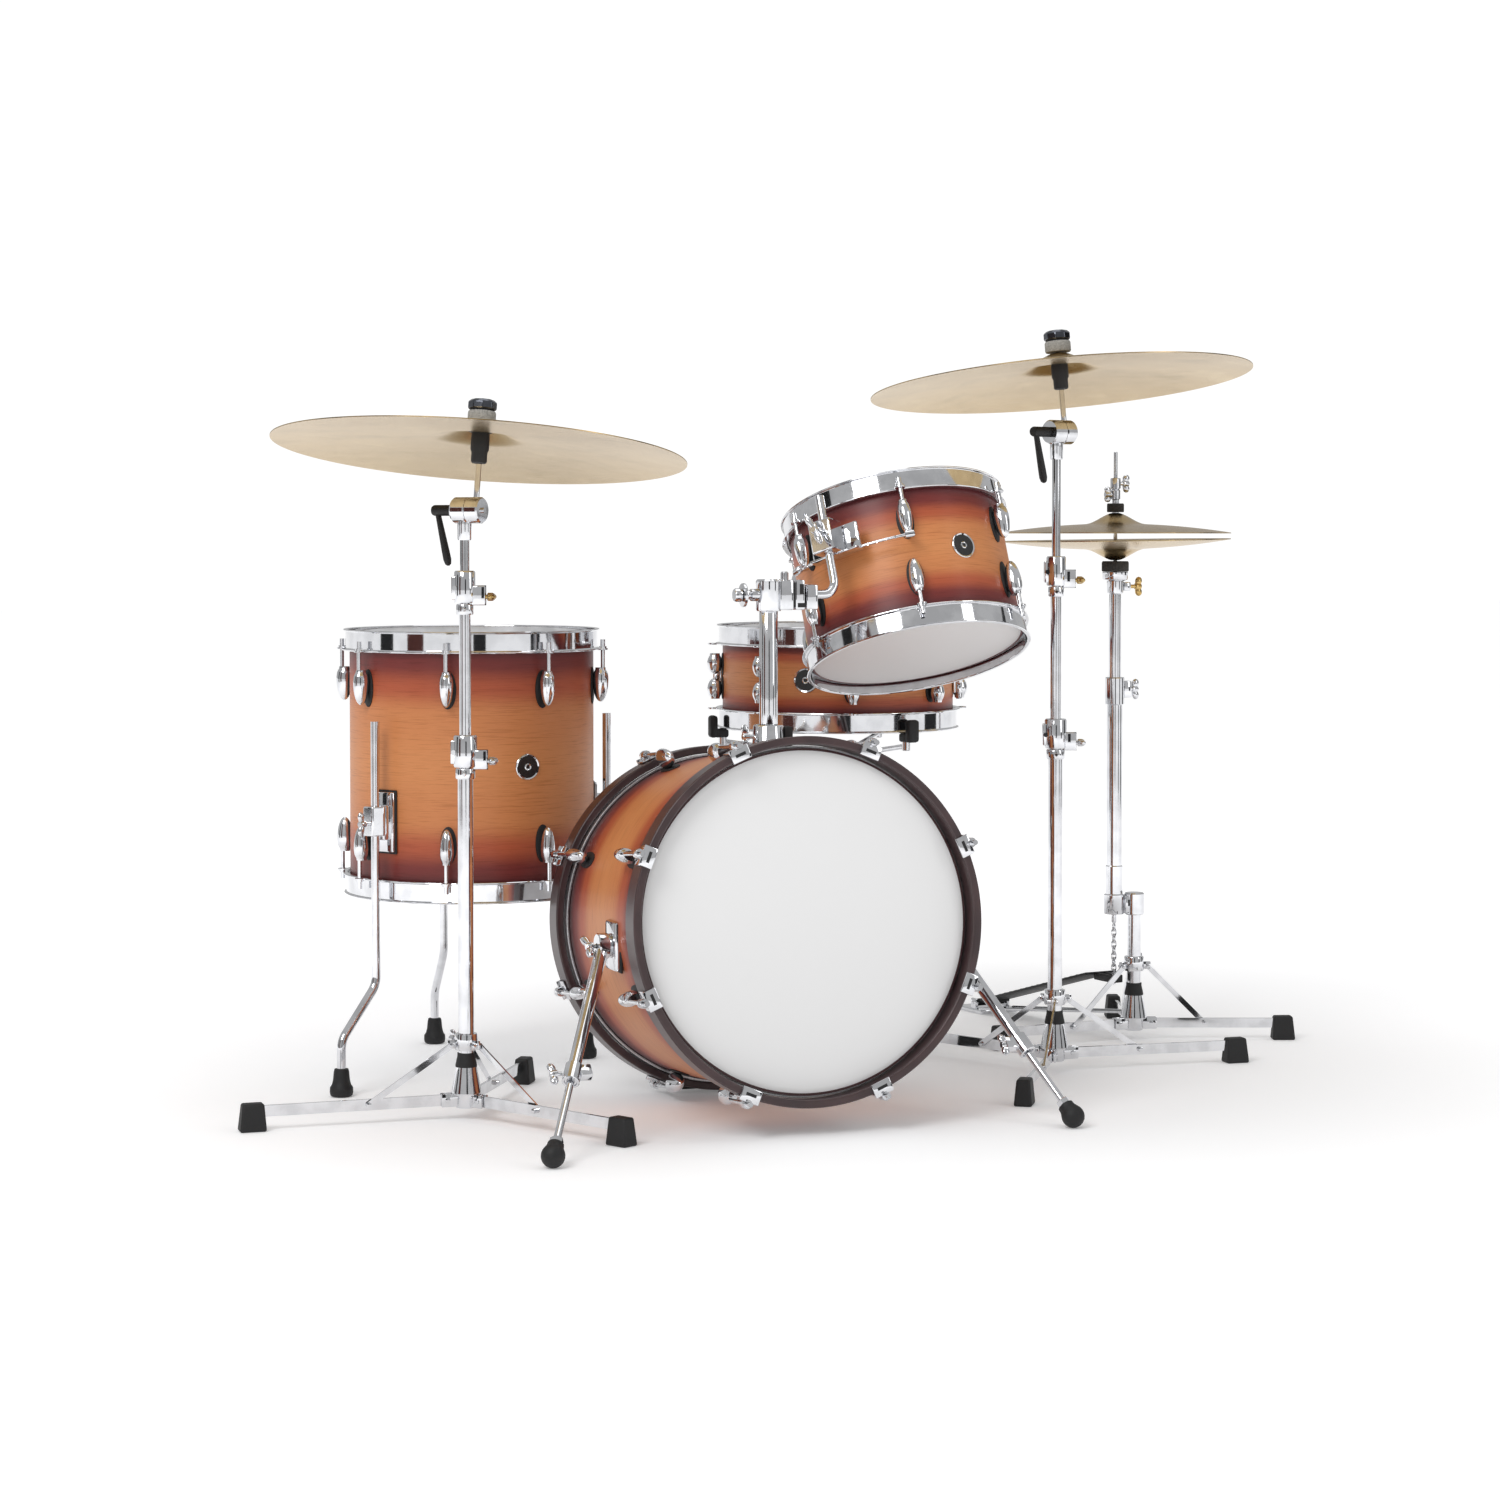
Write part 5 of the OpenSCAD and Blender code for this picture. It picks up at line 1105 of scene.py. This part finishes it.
fitted(pedal_pin, chrome, "pedal_footboard", "chrome")
links = together("pedal_chain_links",
                 copies(chain("links", 9, 0.0090), [Matrix.Translation(CHAIN_FOOT)]),
                 copies(turned("pin", [(0.0015, -0.009), (0.0020, -0.0084), (0.0020, 0.0084),
                                       (0.0015, 0.009)], 20),
                        [Matrix.Translation(CHAIN_FOOT) @ turn(90, "Y")]))
fitted(links, chrome, "pedal_chain", "chrome", "pedal_chain")

BEATER_BACK, BEATER_ARM, CAM = 30, 0.122, 0.028
cam = together(
    "pedal_cam",
    copies(turned("axle", [(0.0042, -0.056), (0.0050, -0.0552), (0.0050, 0.0552), (0.0042, 0.056)], 32),
           [at_axle @ turn(90, "Y")]),
    copies(turned("cam", [(CAM - 0.003, -0.013), (CAM, -0.0125), (CAM, -0.0105), (CAM - 0.004, -0.0095),
                          (CAM - 0.004, 0.0095), (CAM, 0.0105), (CAM, 0.0125), (CAM - 0.003, 0.013)],
                  64), [at_axle @ turn(90, "Y")]),
    copies(turned("shaft", [(0.0030, 0.0), (0.0030, BEATER_ARM + 0.004)], 24),
           [at_axle @ turn(-BEATER_BACK, "X")]))
fitted(cam, chrome, "pedal_beater", "chrome", "pedal_beater")
white_felt = grained("white_felt", (0xD8D5CC, 0xE8E6DF), 700.0, (0.92, 1.0), 0.0008)
beater = turned("pedal_beater_felt", [
    (0.0100, -0.0170), (0.0190, -0.0162), (0.0226, -0.0135), (0.0240, -0.0090), (0.0240, 0.0090),
    (0.0226, 0.0135), (0.0190, 0.0162), (0.0100, 0.0170)], 64)
fitted(copies(beater, [at_axle @ turn(-BEATER_BACK, "X") @ shift(0, 0, BEATER_ARM) @ turn(90, "X")]),
       white_felt, "pedal_beater", "head_film")

# ---- Studio ----
# A flat white floor under soft boxes, with dark cards out of view that draw the stripes in the chrome.
studio_white, tree, shader = finish_of("studio_white", Base_Color=paint(0xF4F4F5), Roughness=0.9,
                                       Emission_Color=paint(0xFFFFFF))
# Painted light: the floor glows, faintly within 0.6 m of its middle and rising to full glow 2.2 m out, so it reads
# darker round the kit as painted shade.
from_kit = add_node(tree, "ShaderNodeVectorMath", {"operation": "LENGTH"}, {
    "Vector": add_node(tree, "ShaderNodeTexCoord").outputs["Object"]})
glow = add_node(tree, "ShaderNodeMapRange", None, {
    "Value": from_kit.outputs["Value"], "From Min": 0.6, "From Max": 2.2, "To Min": 0.15, "To Max": 0.55})
tree.links.new(glow.outputs["Result"], shader.inputs["Emission Strength"])
for node in frame["nodes"]:
    slot = next(s["material_slot"] for s in frame["record"]["subparts"] if s["node"] == node)
    if slot == "chrome":
        cad_finish(chrome, node)
    elif slot in ("rubber", "black_metal"):
        cad_finish(gasket_rubber, node)

bpy.ops.mesh.primitive_plane_add(size=60)
ground = bpy.context.object
ground.name = "studio_floor"
ground.data.materials.append(studio_white)

world = bpy.data.worlds.new("studio")
bpy.context.scene.world = world
world.use_nodes = True
sky = world.node_tree.nodes["Background"]
seen = add_node(world.node_tree, "ShaderNodeLightPath").outputs["Is Camera Ray"]
level = add_node(world.node_tree, "ShaderNodeMapRange", None, {
    "Value": seen, "To Min": 0.50, "To Max": 1.05}).outputs["Result"]
sky.inputs["Color"].default_value = paint(0xFFFFFF)
world.node_tree.links.new(level, sky.inputs["Strength"])


def soft_box(name, place, aim, width, height, watts):
    """A rectangular soft light at a place, turned to its aim."""
    light = bpy.data.lights.new(name, "AREA")
    light.shape, light.size, light.size_y, light.energy = "RECTANGLE", width, height, watts
    lamp = bpy.data.objects.new(name, light)
    bpy.context.collection.objects.link(lamp)
    lamp.location = place
    lamp.rotation_euler = (Vector(aim) - Vector(place)).to_track_quat("-Z", "Y").to_euler()
    return lamp


soft_box("key", (-2.8, -2.2, 3.2), (0, 0, 0.5), 1.8, 1.8, 75)
soft_box("fill", (2.6, -3.0, 2.0), (0, 0, 0.5), 0.8, 2.4, 16)
soft_box("top", (0.0, 0.4, 4.0), (0, 0.4, 0), 3.0, 3.0, 34)


def card(name, heading, wide, colour):
    """A tall card standing five metres off, seen only in reflections."""
    bpy.ops.mesh.primitive_plane_add(size=1, rotation=(math.pi / 2, 0, 0))
    board = bpy.context.object
    board.name = name
    bpy.ops.object.transform_apply(rotation=True)
    copies(board, [turn(heading) @ shift(5.0, 0, 1.2) @ turn(90) @ Matrix.Diagonal((wide, 1, 2.6, 1))])
    board.data.materials.append(finish_of(name, Base_Color=paint(colour), Roughness=0.9)[0])
    board.visible_camera = board.visible_shadow = board.visible_diffuse = False


for name, heading, wide, colour in (("card_back", -103, 1.0, 0x18181A), ("card_brown", -160, 1.3, 0x4A211A),
                                    ("card_left", -188, 1.2, 0x101012), ("card_right", -48, 0.9, 0x222225),
                                    ("card_side", -8, 1.5, 0x19191B)):
    card(name, heading, wide, colour)

CAMERA_PLACE = Vector((-1.6309, -4.3966, 0.788))
CAMERA_TURN = math.radians(-19.45)
CAMERA_PITCH = math.radians(2.0)
HORIZON_TURN = math.radians(3.8)
FOCAL_MM, SENSOR_MM = 77.7, 36.0
camera = bpy.data.cameras.new("camera")
camera.lens, camera.sensor_width, camera.clip_end = FOCAL_MM, SENSOR_MM, 100.0
camera.shift_y = -(math.tan(HORIZON_TURN) - math.tan(CAMERA_PITCH)) * FOCAL_MM / SENSOR_MM
eye = bpy.data.objects.new("camera", camera)
bpy.context.collection.objects.link(eye)
eye.location = CAMERA_PLACE
eye.rotation_euler = (math.pi / 2 - CAMERA_PITCH, 0, CAMERA_TURN)
bpy.context.scene.camera = eye
bpy.context.scene.view_settings.view_transform = "Standard"
